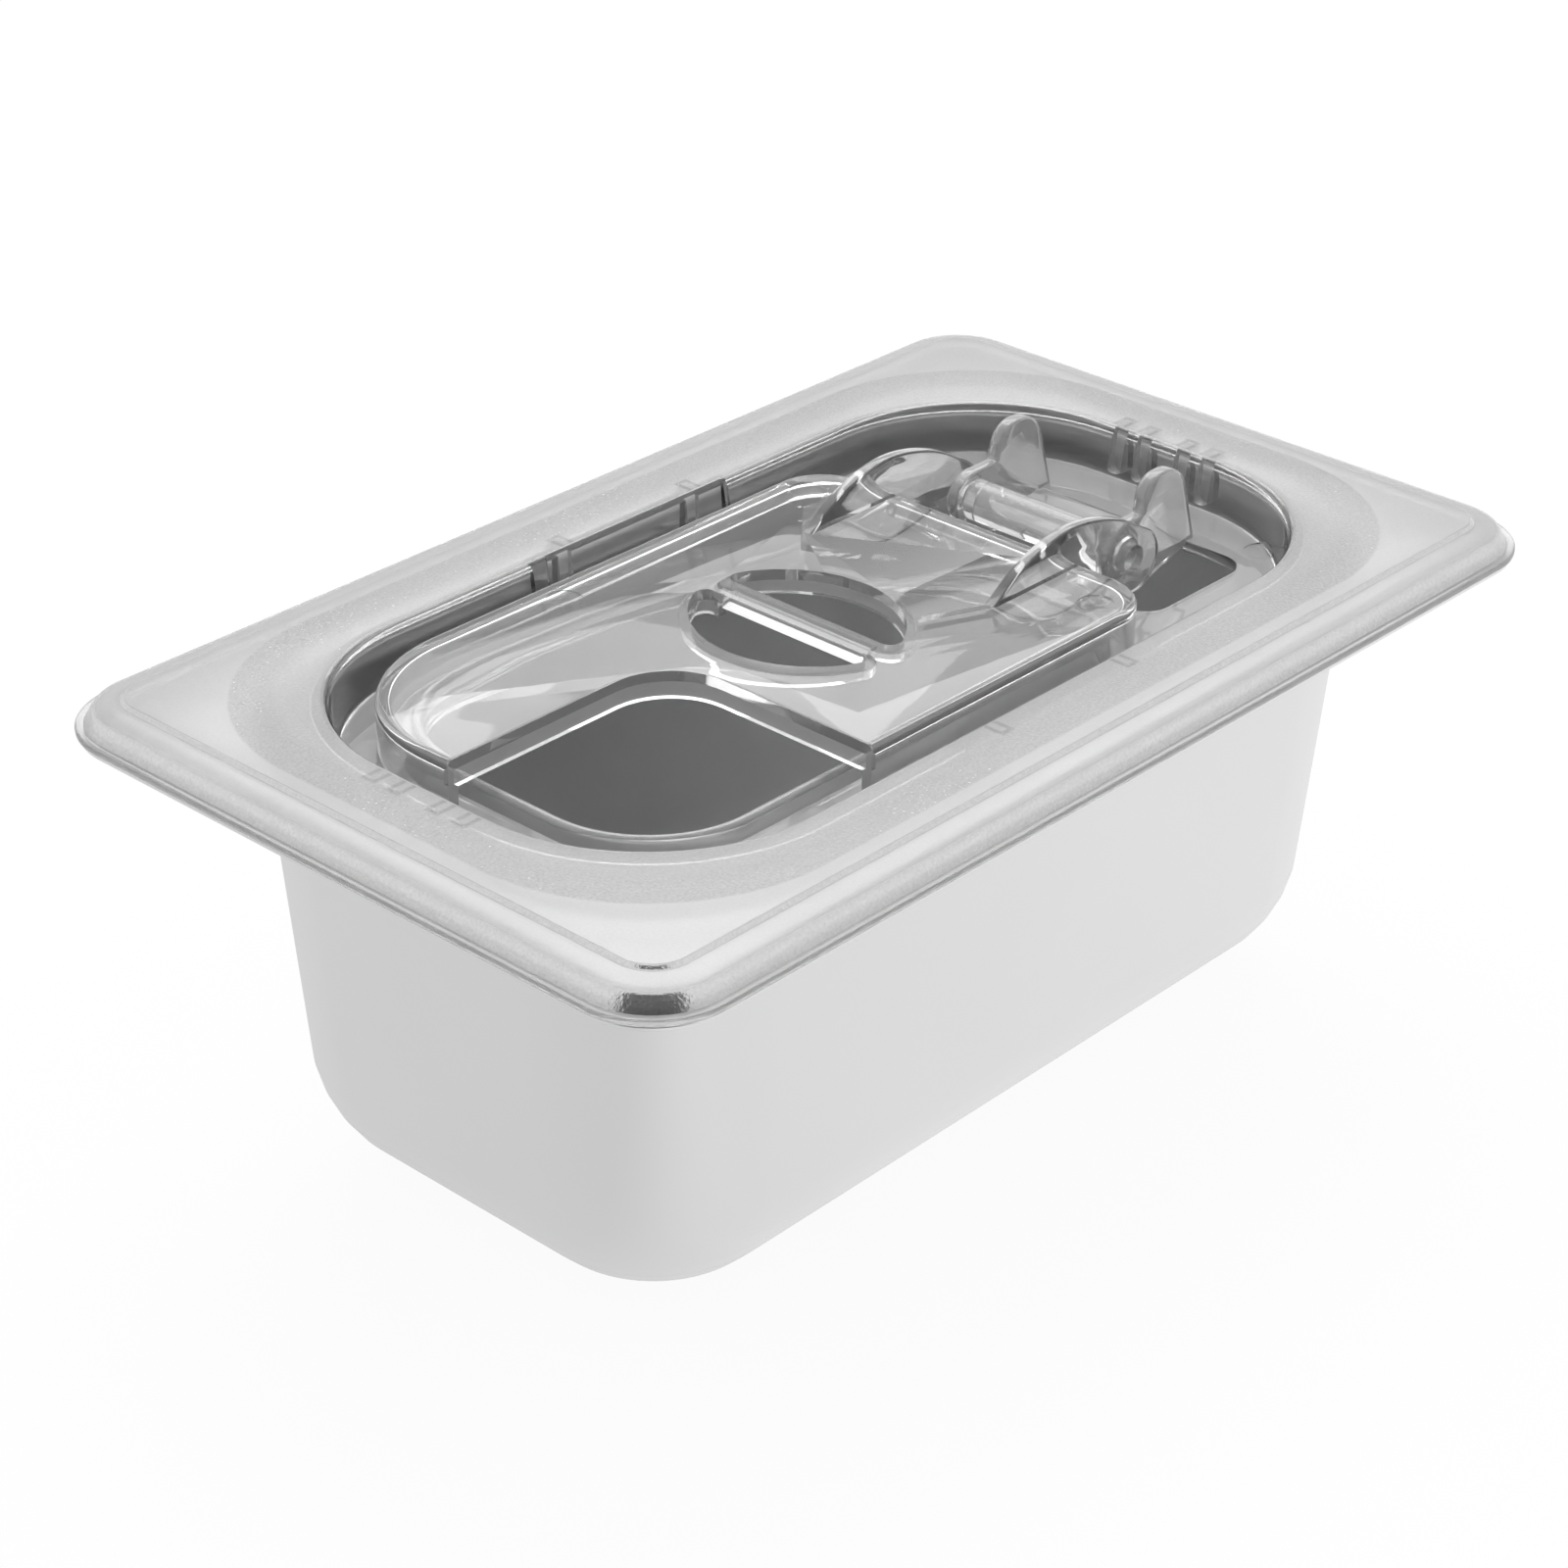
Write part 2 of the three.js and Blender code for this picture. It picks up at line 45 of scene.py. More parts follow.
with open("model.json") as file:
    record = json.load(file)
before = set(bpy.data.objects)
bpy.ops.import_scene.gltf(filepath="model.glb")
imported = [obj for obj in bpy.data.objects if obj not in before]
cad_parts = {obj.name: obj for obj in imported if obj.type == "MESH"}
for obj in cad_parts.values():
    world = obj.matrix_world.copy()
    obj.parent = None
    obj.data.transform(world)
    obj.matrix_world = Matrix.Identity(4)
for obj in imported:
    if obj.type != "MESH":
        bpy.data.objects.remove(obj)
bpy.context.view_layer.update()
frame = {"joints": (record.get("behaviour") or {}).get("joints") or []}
PAN_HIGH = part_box("pan")[1]
LID_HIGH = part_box("lid_base")[1]
HINGE = next(joint for joint in frame["joints"] if joint["name"] == "flap_hinge")


def number(name, words, value, **kind):
    """A setting that is one number, with its unit, subtype or limits."""
    return FloatProperty(name=name, description=words, default=value, **kind)


def mm(name, words, size):
    """A length setting with its default in millimetres."""
    return number(name, words, size / 1000, subtype="DISTANCE", unit="LENGTH")


def degrees(name, words, angle):
    """An angle setting with its default in degrees."""
    return number(name, words, math.radians(angle), subtype="ANGLE", unit="ROTATION")


def share(name, words, value):
    """A setting between nothing and all."""
    return number(name, words, value, min=0, max=1, subtype="FACTOR")


def tint(name, words, *value):
    """A colour setting."""
    return FloatVectorProperty(
        name=name, description=words, default=value, min=0, max=1, size=3, subtype="COLOR",
    )


class PanSizes(bpy.types.PropertyGroup):
    """The drawn steel pan."""

    sheet: mm("Sheet", "Thickness of the steel", 0.8)
    reach: mm("Flange reach", "Width from the body to the flange's edge", 12)
    flange_corner: mm("Flange corner", "Corner radius of the flange", 11)
    body_corner: mm("Body corner", "Corner radius of the body at the flange", 25)
    draft: degrees("Draft", "Lean of the walls", 4.8)
    floor_bend: mm("Floor bend", "Bend between floor and walls", 19)
    throat_bend: mm("Throat bend", "Bend between walls and flange", 3)
    edge: mm("Edge", "Rounding of the flange's cut edge", 0.3)


class LidSizes(bpy.types.PropertyGroup):
    """The lid base: flange, shoulder, well, collar, bays and ribs."""

    wall: mm("Wall", "Thickness of the lid", 1.8)
    rise: mm("Rise", "Height of the flat top over the pan's flange", 4.4)
    lip: mm("Lip height", "Height of the lip at the edge", 1)
    lip_seat: mm("Lip seat", "Width of the lip on the pan's flange", 2.4)
    lip_step: mm("Lip step", "Step from the lip in to the shoulder", 1.1)
    shoulder: mm("Shoulder", "Run of the rounded shoulder", 4.6)
    slope: mm("Slope", "Height of the shoulder's sloping wall", 1.4)
    slope_lean: mm("Slope lean", "How far that wall leans in", 0.85)
    crease: mm("Crease", "Height of the step between the shoulder and the flat top", 0.65)
    crease_run: mm("Crease run", "Width of that step", 0.9)
    inset: mm("Well inset", "From the pan flange's edge to the well", 17.5)
    corner: mm("Well corner", "Corner radius of the well", 27)
    depth: mm("Well depth", "Depth of the well", 7.2)
    draft: mm("Well draft", "How far the well narrows towards its floor", 0.9)
    edge: mm("Well edge", "Rounding of the well's rim", 0.9)
    fillet: mm("Fillet", "Rounding of inner corners", 0.9)
    floor: mm("Floor", "Thickness of the well's floor", 1.6)
    collar_inset: mm("Collar inset", "From the flap's edge to the collar", 4.2)
    collar_wall: mm("Collar wall", "Thickness of the collar", 1.6)
    collar_height: mm("Collar height", "Height of the collar over the floor", 2.7)
    bay_middle: mm("Bay middle", "Place of the wide stretch of the well", 0.8)
    bay_length: mm("Bay length", "Length of the wide stretch of the well", 34.5)
    bay_depth: mm("Bay depth", "How much wider the well is there", 1)
    rib_width: mm("Rib width", "Width of the locating ribs", 2.4)
    rib_reach: mm("Rib reach", "How far the ribs stand out", 2.2)
    rib_spread: mm("Rib spread", "Between the ribs of a bay", 25)
    rib_near: mm("Near rib", "Inner pair of end ribs, off the middle", 3.5)
    rib_far: mm("Far rib", "Outer pair of end ribs, off the middle", 7.9)
    mark: mm("Mark radius", "Radius of the round moulding marks", 2.5)
    mark_depth: mm("Mark depth", "Depth of the round moulding marks", 0.15)
    mark_inset: mm("Mark inset", "From an edge to a moulding mark", 4.8)
    deck_mark: mm("Deck mark", "From the middle to a moulding mark on the deck", 23.6)


class FlapSizes(bpy.types.PropertyGroup):
    """The hinged flap: plate, skirt, notch and finger openings."""

    margin: mm("Margin", "Gap between the flap and the well's rim", 5.8)
    hinge_space: mm("Hinge space", "From the flap's rear to the well's end", 38.8)
    front_corner: mm("Front corner", "Corner radius at the front", 21.5)
    rear_corner: mm("Rear corner", "Corner radius at the rear", 8)
    plate: mm("Plate", "Thickness of the plate", 2)
    skirt: mm("Skirt", "Thickness of the skirt", 1.6)
    edge: mm("Edge", "Rounding of the plate's edge", 0.9)
    cut_edge: mm("Cut edge", "Rounding of the edges of notch and finger openings", 0.63)
    notch_length: mm("Notch length", "Length of the spoon notch", 38.6)
    notch_width: mm("Notch width", "Width of the spoon notch", 34.9)
    notch_corner: mm("Notch corner", "Corner radius of the notch", 9.5)
    notch_wall: mm("Notch wall", "Thickness of the wall round the notch", 1.5)
    notch_drop: mm("Notch drop", "Depth of the wall round the notch", 4)
    bar: mm("Bar", "Width of the bar between the finger openings", 3.9)
    grip_depth: mm("Grip depth", "Depth of a finger opening", 11.5)
    grip_width: mm("Grip width", "Length of a finger opening", 31)
    grip_tip: mm("Grip tip", "Rounding at a finger opening's ends", 1.6)
    grip_rim: mm("Grip rim", "Thickness of the rim under a finger opening", 1.4)
    grip_drop: mm("Grip drop", "Height of that rim under the plate", 1.6)


class HingeSizes(bpy.types.PropertyGroup):
    """Ears and rod on the base, arms and pins on the flap."""

    deck: mm("Deck", "From the axis to the deck behind it", 15.3)
    opening: mm("Opening clearance", "Between the knuckles and the opening in the floor", 2.4)
    opening_corner: mm("Opening corner", "Corner radius of that opening", 4)
    pin: mm("Pin radius", "Radius of the stub pins", 2)
    socket: mm("Socket radius", "Radius of the sockets in the ears", 2.3)
    span: mm("Ear span", "Over the outside of the ears", 28)
    ear: mm("Ear thickness", "Thickness of an ear", 2)
    boss: mm("Ear boss", "Radius of the boss round a socket", 4.2)
    ear_height: mm("Ear height", "Height of an ear over the floor", 12.6)
    ear_front: mm("Ear front", "From the axis to an ear's upright", 5)
    ear_foot: mm("Ear foot", "Reach of an ear's foot on the deck", 2.2)
    ear_lean: mm("Ear lean", "How far an ear's back leans in", 4)
    ear_crown: mm("Ear crown", "Rounding of an ear's top", 3.6)
    ear_drop: mm("Ear drop", "How far an ear reaches under the floor", 2)
    rod: mm("Rod radius", "Radius of the rod between the ears", 3)
    tongue: mm("Tongue", "Reach of the floor between the ears", 11)
    tongue_edge: mm("Tongue edge", "Rounding of that floor's front", 0.5)
    arm_gap: mm("Arm gap", "Between an ear and its arm", 1.4)
    arm: mm("Arm thickness", "Thickness of an arm", 1.8)
    arm_foot: mm("Arm foot", "Length of an arm on the plate", 18.4)
    arm_rise: mm("Arm rise", "Height of an arm's crest", 6.2)
    arm_slope: degrees("Arm slope", "Slope of an arm's front", 35)
    arm_fall: degrees("Arm fall", "Where an arm's back meets the knuckle", 60)
    arm_round: mm("Arm rounding", "Rounding of an arm's crest", 7)
    knuckle: mm("Knuckle", "Radius of the knuckle", 4.7)
    soft_edge: mm("Soft edge", "Rounding of the edges of ears and arms", 0.35)


class Finish(bpy.types.PropertyGroup):
    """Colours and gloss."""

    steel: tint("Steel", "Colour of the steel", .78, .78, .782)
    steel_rough: share("Steel roughness", "Roughness of the satin steel", .3)
    steel_cloud: share("Steel clouds", "How far clouds vary the steel's roughness", .1)
    steel_grain: share("Steel grain", "How far grain varies the steel's roughness", .06)
    cloud_shade: share("Cloud shade", "How far clouds vary the steel's colour", .08)
    # Painted shade in front and painted light behind on the pan's inner walls.
    inside_shade: share("Inside shade", "How much darker the pan's inner walls are in front", .18)
    inside_light: share("Inside light", "How much lighter the pan's inner walls are behind", .2)
    inside_rough: share("Inside roughness", "How much rougher the pan's inner walls are", .25)
    clear: tint("Clear plastic", "Colour of the clear plastic", .97, .97, .97)
    clear_rough: share("Clear roughness", "Roughness of the clear plastic", .01)
    flow_rough: share("Flow roughness", "How far moulding flow roughens clear plastic", .02)
    flow_shade: share("Flow shade", "How far moulding flow darkens clear plastic", .04)
    clear_pass: share("Clear transmission", "Share of the light that clear plastic passes", .97)
    floor_pass: share("Floor transmission", "Share of the light that the well's floor passes", .72)
    skirt_pass: share("Skirt transmission", "Share of the light that the flap's skirt passes", .8)
    wall_pass: share("Wall transmission", "Share of the light that the hinge's walls pass", .84)
    # Painted shade on the well's walls.
    wall_shade: share("Wall shade", "How far the well's walls darken what is behind them", .42)
    frost: tint("Frosted plastic", "Colour of the frosted plastic", .79, .79, .79)
    frost_rough: share("Frost roughness", "Roughness of the frosted plastic", .24)
    frost_cloud: share("Frost clouds", "How far clouds vary the frost's roughness", .08)
    frost_pass: share("Frost transmission", "Share of the light that frosted plastic passes", .6)
    # Painted shade in the frost over the pan's throat.
    throat_shade: share("Throat shade", "How much darker frost is over the pan's throat", .2)
    # Painted shade along the ribs' outlines under the flange.
    rib_shade: share("Rib shade", "How far the ribs' outlines show through the flange", .3)
    sparkle: share("Sparkle", "Sparkle of the frost on level faces", .12)
    throat_sparkle: share("Throat sparkle", "Added sparkle over the pan's throat", .5)
    slope_sparkle: share("Slope sparkle", "Added sparkle on slopes", .3)
    sparkle_rough: share("Sparkle roughness", "How far sparkle varies the frost's roughness", .2)
    frost_sheen: share("Frost sheen", "Share of satin sheen on the flange's shoulder", .8)
    sheen_rough: share("Sheen roughness", "Roughness of that sheen", .17)
    # The sheen's colour, with painted shade that darkens it towards the shoulder's foot.
    sheen_level: share("Sheen level", "Brightness of that sheen at the shoulder's foot", .62)
    sheen_rise: share("Sheen rise", "How much brighter it is at the shoulder's top", .2)
    sheen_sparkle: share("Sheen sparkle", "How far sparkle varies that sheen", .5)
    refraction: number("Refraction", "Refractive index of the plastic", 1.585)


class Studio(bpy.types.PropertyGroup):
    """Camera, lights and floor."""

    azimuth: degrees("Azimuth", "Camera's turn about the pan", -47.455)
    elevation: degrees("Elevation", "Camera's height over the pan", 29.202)
    roll: degrees("Roll", "Camera's roll", -0.450)
    place: FloatVectorProperty(
        name="Camera place", description="Where the camera stands",
        default=(-0.335990, -0.300447, 0.292565), size=3, subtype="TRANSLATION", unit="LENGTH",
    )
    lens: number("Lens", "Focal length in millimetres", 87.447, unit="CAMERA")
    fill: number("Fill", "Strength of the surrounding light", .9)
    overhead: number("Overhead", "Power of the overhead lamp in watts", 4, unit="POWER")
    back: number("Back", "Power of the lamp behind the pan in watts", 1.7, unit="POWER")
    floor: tint("Floor", "Colour of the floor", .93, .93, .93)
    floor_light: share("Floor light", "How much of the floor's shadow is lifted", .92)
    # Painted shade on one side of the floor, seen only in reflections.
    floor_mirror_shade: share("Floor shading", "How much darker the floor's dull side is in mirrors", .18)
    dark_side: degrees("Dark side", "Bearing of the room's dark side from the pan", -138.19647)
    corner_steps: IntProperty(
        name="Corner steps", description="Facets in a quarter turn in plan", default=20,
    )
    bend_steps: IntProperty(
        name="Bend steps", description="Facets in a quarter turn of a bend", default=9,
    )


GROUPS = {
    "pan_sizes": PanSizes,
    "lid_sizes": LidSizes,
    "flap_sizes": FlapSizes,
    "hinge_sizes": HingeSizes,
    "pan_finish": Finish,
    "pan_studio": Studio,
}

# How far a cutting solid runs past what it cuts, and how far joined solids keep off shared faces.
PASS, OVERLAP = 0.005, 0.0001
# Room between faces that rest on each other, and the distance within which points are one.
REST_GAP, NEAR = 0.00005, 1e-6
# Edges that turn more than this are shaded sharp.
SHARP = math.radians(35)
# A corner is rounded by just less than its whole side.
WHOLE = 0.99
# Facets in a quarter turn of a rounding, from small edges to an arm's crest.
SMALL, RIM, EDGE, PLATE, CROWN, CREST = 3, 4, 5, 6, 8, 12
# Facets round a bar and round a moulding mark.
BAR_FACETS, MARK_FACETS = 48, 40
# The shoulder's curve: how far it follows the slope at its brow, its run and the crease behind.
BROW_PULL, BAND_PULL, BAND_RISE = 0.35, 0.7, 0.25
# Where the crease's outlines lie in its width.
CREASE_STEPS = (0, 0.17, 0.33, 0.5, 0.67, 0.83, 1)
# The ribs' tops lie under the lid's top by this share of its wall.
RIB_SINK = 0.6
# The ribs' feet are rounded by this share of a rib's width.
RIB_FOOT = 0.45
# An arm's crest is a little tighter at its back.
BACK_ROUND = 0.95
# Slots of the second and third material of the lid and of the second one of the flap.
FROSTED, HINGE_CLEAR, ARMS = 1, 2, 1


class Plan:
    """Levels and places that follow from the sizes, in the frame of the packed model."""

    def __init__(self, scene):
        self.pan, self.lid = scene.pan_sizes, scene.lid_sizes
        self.flap, self.hinge = scene.flap_sizes, scene.hinge_sizes
        self.corner_steps = scene.pan_studio.corner_steps
        self.bend_steps = scene.pan_studio.bend_steps
        self.half_length, self.half_width = PAN_HIGH.x, PAN_HIGH.y
        self.flange_top = PAN_HIGH.z
        self.overhang = LID_HIGH.x - PAN_HIGH.x
        self.lid_top = self.flange_top + self.lid.rise
        self.well_floor = self.lid_top - self.lid.depth
        self.floor_under = self.well_floor - self.lid.floor
        self.floor_middle = self.well_floor - self.lid.floor / 2
        self.collar_top = self.well_floor + self.lid.collar_height
        self.well_half_length = self.half_length - self.lid.inset
        self.well_half_width = self.half_width - self.lid.inset
        self.plate_under = self.lid_top - self.flap.plate
        self.plate_middle = self.lid_top - self.flap.plate / 2
        self.flap_front = self.flap.margin - self.well_half_length
        self.flap_rear = self.well_half_length - self.flap.hinge_space
        self.flap_half_width = self.well_half_width - self.flap.margin
        self.notch = Vector((
            self.flap_front + self.flap.notch_length,
            self.flap.notch_width - self.flap_half_width,
        ))
        self.arm_tip = self.flap_rear - self.hinge.arm_foot
        self.grip_x = (self.notch.x + self.arm_tip) / 2
        self.axis = Vector((HINGE["pos_m"][0], HINGE["pos_m"][2]))
        self.deck_edge = self.axis.x + self.hinge.deck
        self.ear_outside = self.hinge.span / 2
        self.ear_inside = self.ear_outside - self.hinge.ear
        self.arm_inside = self.ear_outside + self.hinge.arm_gap


def quarter(steps):
    """Cosine and sine at each step of a quarter turn."""
    turns = [i / steps * math.pi / 2 for i in range(steps + 1)]
    return [(math.cos(turn), math.sin(turn)) for turn in turns]


def of_kind(kind, geom):
    """The points, edges or faces among what an operator made."""
    return [g for g in geom if isinstance(g, kind)]


def round_points(bm, points, radius, steps):
    """Rounds corners of a flat face; the points that the rounding leaves are returned."""
    return bmesh.ops.bevel(
        bm, geom=points, offset=radius, offset_type="OFFSET", segments=steps,
        profile=0.5, affect="VERTICES", material=-1,
    )["verts"]


def round_edges(bm, edges, radius, steps):
    """Rounds edges with a circular bevel."""
    bmesh.ops.bevel(
        bm, geom=edges, offset=radius, offset_type="OFFSET", segments=steps,
        profile=0.5, affect="EDGES", material=-1, clamp_overlap=True,
    )


def level_face(bm, low, high, z):
    """A level face between two corners in plan; its points are returned."""
    place = Matrix.Translation((*(low + high) / 2, z))
    size = Matrix.Diagonal((*(high - low), 1, 1))
    return bmesh.ops.create_grid(
        bm, x_segments=1, y_segments=1, size=0.5, matrix=place @ size,
    )["verts"]


class Outline:
    """A level outline in plan: a box with rounded corners, one radius in front and one behind."""

    def __init__(self, low, high, z, front_corner, rear_corner):
        self.low, self.high, self.z = Vector(low), Vector(high), z
        self.front_corner, self.rear_corner = front_corner, rear_corner
        self.middle = (self.low + self.high) / 2

    def face(self, bm, steps):
        """Lays the outline down as a face."""
        verts = level_face(bm, self.low, self.high, self.z)
        front = [v for v in verts if v.co.x < self.middle.x]
        rear = [v for v in verts if v.co.x > self.middle.x]
        round_points(bm, front, self.front_corner, steps)
        made = round_points(bm, rear, self.rear_corner, steps)
        return made[0].link_faces[0]

    def corner(self, x_side, y_side):
        """Centre and radius of the rounding at one corner."""
        radius = self.rear_corner if x_side > 0 else self.front_corner
        x = self.high.x - radius if x_side > 0 else self.low.x + radius
        y = self.high.y - radius if y_side > 0 else self.low.y + radius
        return Vector((x, y, self.z)), radius

    def reshape(self, bm, verts, after):
        """Moves points of this outline onto another one, corner by corner."""
        groups = {}
        for vert in verts:
            side = tuple(1 if vert.co[i] > self.middle[i] else -1 for i in (0, 1))
            groups.setdefault(side, []).append(vert)
        for side, group in groups.items():
            centre, radius = self.corner(*side)
            new_centre, new_radius = after.corner(*side)
            grow = new_radius / radius
            space = Matrix.Translation(-centre)
            bmesh.ops.scale(bm, vec=(grow, grow, 1), space=space, verts=group)
            bmesh.ops.translate(bm, vec=new_centre - centre, verts=group)


def loft(bm, outlines, steps, closed=False):
    """Walls through a row of outlines, with a face on both ends unless it closes on itself."""
    first = outlines[0].face(bm, steps)
    edges, walls = list(first.edges), []
    if closed:
        outlines = outlines + outlines[:1]
    for before, after in zip(outlines, outlines[1:]):
        made = bmesh.ops.extrude_edge_only(bm, edges=edges)["geom"]
        verts = set(of_kind(BMVert, made))
        before.reshape(bm, list(verts), after)
        edges = [e for e in of_kind(BMEdge, made) if verts.issuperset(e.verts)]
        walls.append(of_kind(BMFace, made))
    if closed:
        bmesh.ops.delete(bm, geom=[first], context="FACES_ONLY")
        bmesh.ops.remove_doubles(bm, verts=bm.verts, dist=NEAR)
    else:
        bmesh.ops.contextual_create(bm, geom=edges)
    return walls


def bend(plan, outline, steps, inset, z, across, up, level_first=False):
    """Outlines round a corner at an inset and level, from its upright side or its level side."""
    turns = [(s, c) if level_first else (c, s) for c, s in quarter(steps)]
    return [outline(plan, inset + across * (1 - c), z + up * (1 - s)) for c, s in turns]


def extrude(bm, face, along):
    """Draws a face out into a solid."""
    made = bmesh.ops.extrude_face_region(bm, geom=[face])["geom"]
    bmesh.ops.translate(bm, vec=along, verts=of_kind(BMVert, made))


def prism(bm, face, height):
    """A plan face drawn up into a solid."""
    extrude(bm, face, (0, 0, height))


def block(bm, one, other):
    """A box between two opposite corners; its points are returned."""
    low, high = (Vector(tuple(map(pick, one, other))) for pick in (min, max))
    place = Matrix.Translation((low + high) / 2)
    size = Matrix.Diagonal((*(high - low), 1))
    return bmesh.ops.create_cube(bm, size=1, matrix=place @ size)["verts"]


def bar(bm, plan, radius, start, end):
    """A round bar along the hinge axis."""
    place = Matrix.Translation((plan.axis.x, (start + end) / 2, plan.axis.y))
    bmesh.ops.create_cone(
        bm, cap_ends=True, segments=BAR_FACETS, radius1=radius, radius2=radius,
        depth=abs(end - start), matrix=place @ Matrix.Rotation(math.pi / 2, 4, "X"),
    )


def side_plate(bm, corners, near, thickness, edge, steps):
    """A plate across the hinge axis, from the corners of its side view as (x, z, rounding)."""
    verts = [bm.verts.new((x, near, z)) for x, z, _ in corners]
    bm.faces.new(verts)
    keep = verts[0]
    for vert, (_, _, rounding) in zip(verts, corners):
        if rounding:
            round_points(bm, [vert], rounding, steps)
    face = keep.link_faces[0]
    before = set(bm.faces)
    extrude(bm, face, (0, thickness, 0))
    sides = [f for f in bm.faces if f not in before or f == face]
    caps = [f for f in sides if len(f.verts) > 4]
    round_edges(bm, list({e for f in caps for e in f.edges}), edge, SMALL)


def in_finish(bm, slot):
    """Gives every face of a solid one of its piece's materials."""
    for face in bm.faces:
        face.material_index = slot
    return bm


def centred(half_length, half_width, z, corner):
    """An outline about the middle with equal corners."""
    return Outline((-half_length, -half_width), (half_length, half_width), z, corner, corner)


def body_outline(plan, inset, z):
    """The pan's body, moved in from the flange's edge, with concentric corners."""
    corner = plan.pan.body_corner + plan.pan.reach - inset
    return centred(plan.half_length - inset, plan.half_width - inset, z, corner)


def flange_outline(plan, inset, z):
    """The pan's flange, moved in from its edge."""
    corner = plan.pan.flange_corner - inset
    return centred(plan.half_length - inset, plan.half_width - inset, z, corner)


def lid_outline(plan, inset, z):
    """The lid, moved in from the lip's edge."""
    return flange_outline(plan, inset - plan.overhang, z)


def well_outline(plan, outward, z):
    """The well, moved out from its rim."""
    corner = plan.lid.corner + outward
    return centred(plan.well_half_length + outward, plan.well_half_width + outward, z, corner)


def flap_outline(plan, inset, z):
    """The flap, moved in from its edge."""
    low = (plan.flap_front + inset, inset - plan.flap_half_width)
    high = (plan.flap_rear - inset, plan.flap_half_width - inset)
    return Outline(low, high, z, plan.flap.front_corner - inset, plan.flap.rear_corner - inset)


def new_mesh(name, bm):
    """A bmesh as a mesh with outward faces."""
    bmesh.ops.recalc_face_normals(bm, faces=bm.faces)
    mesh = bpy.data.meshes.new(name)
    bm.to_mesh(mesh)
    bm.free()
    return mesh


def new_object(name, mesh, *materials):
    """An object for a mesh, in the scene, with its materials."""
    for material in materials:
        mesh.materials.append(material)
    return in_scene(bpy.data.objects.new(name, mesh))


def in_scene(made):
    """Links an object to the scene."""
    bpy.context.scene.collection.objects.link(made)
    return made


def carve(piece, steps):
    """Joins other solids to a piece, or cuts them out of it, in order."""
    tools = []
    for operation, bm in steps:
        tool = new_object("tool", new_mesh("tool", bm))
        modifier = piece.modifiers.new("carve", "BOOLEAN")
        modifier.operation = operation
        modifier.solver = "EXACT"
        modifier.object = tool
        tools.append(tool)
    shaped = piece.evaluated_get(bpy.context.evaluated_depsgraph_get())
    old = piece.data
    piece.data = bpy.data.meshes.new_from_object(shaped)
    piece.data.name = old.name
    piece.modifiers.clear()
    bpy.data.meshes.remove(old)
    for tool in tools:
        bpy.data.meshes.remove(tool.data)


def soften(piece, chosen, radius, steps):
    """Rounds the sharp edges of a piece that a test picks out."""
    bm = bmesh.new()
    bm.from_mesh(piece.data)
    bmesh.ops.remove_doubles(bm, verts=bm.verts, dist=NEAR)
    bmesh.ops.dissolve_degenerate(bm, edges=bm.edges, dist=NEAR)
    sharp = [e for e in bm.edges if e.is_manifold and e.calc_face_angle(0) > SHARP]
    round_edges(bm, [e for e in sharp if chosen(e)], radius, steps)
    bm.to_mesh(piece.data)
    bm.free()


def finish_piece(piece, body, node):
    """Shades a piece and hangs it on its body in place of its node."""
    piece.data.shade_smooth()
    piece.data.set_sharp_from_angle(angle=SHARP)
    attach(piece, body)
    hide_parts(node)


def make_pan(plan, steel):
    """The drawn pan: floor bend, leaning walls, throat bend and flange, outside and inside."""
    pan, edge = plan.pan, plan.pan.edge
    slope = math.tan(pan.draft)
    top = plan.flange_top - REST_GAP

    def wall_inset(height):
        return pan.reach + slope * (plan.flange_top - height)

    def side(depth):
        """Inset and level along the wall at a depth in the sheet, from the floor to the flange."""
        floor = pan.floor_bend - depth
        spring = wall_inset(pan.floor_bend) + depth
        throat = pan.throat_bend + depth
        middle = top - pan.sheet - pan.throat_bend
        centre = wall_inset(middle) - pan.throat_bend
        turns = quarter(plan.bend_steps)
        lower = [(spring + floor * (1 - s), pan.floor_bend - floor * c) for c, s in turns]
        return lower + [(centre + throat * c, middle + throat * s) for c, s in turns]

    bm = bmesh.new()
    loft(bm, [
        *(body_outline(plan, *point) for point in side(0)),
        *bend(plan, flange_outline, SMALL, 0, top - pan.sheet, edge, edge, level_first=True),
        *bend(plan, flange_outline, SMALL, 0, top, edge, -edge),
        *(body_outline(plan, *point) for point in reversed(side(pan.sheet))),
    ], plan.corner_steps)
    return new_object("steel_pan", new_mesh("steel_pan", bm), steel)


def shoulder_profile(plan, foot):
    """Inset and level of the shoulder: a sloping wall that bends over into a gently rising band."""
    lid = plan.lid
    brow = Vector((lid.lip_step + lid.slope_lean, foot + lid.slope, 0))
    back = Vector((lid.lip_step + lid.shoulder, plan.lid_top - lid.crease, 0))
    lean = Vector((lid.slope_lean, lid.slope, 0)) * BROW_PULL
    band = Vector((lid.shoulder * BAND_PULL, lid.crease * BAND_RISE, 0))
    curve = geometry.interpolate_bezier(brow, brow + lean, back - band, back, 2 * plan.bend_steps)
    return [(lid.lip_step, foot)] + [tuple(p.xy) for p in curve[:-1]]


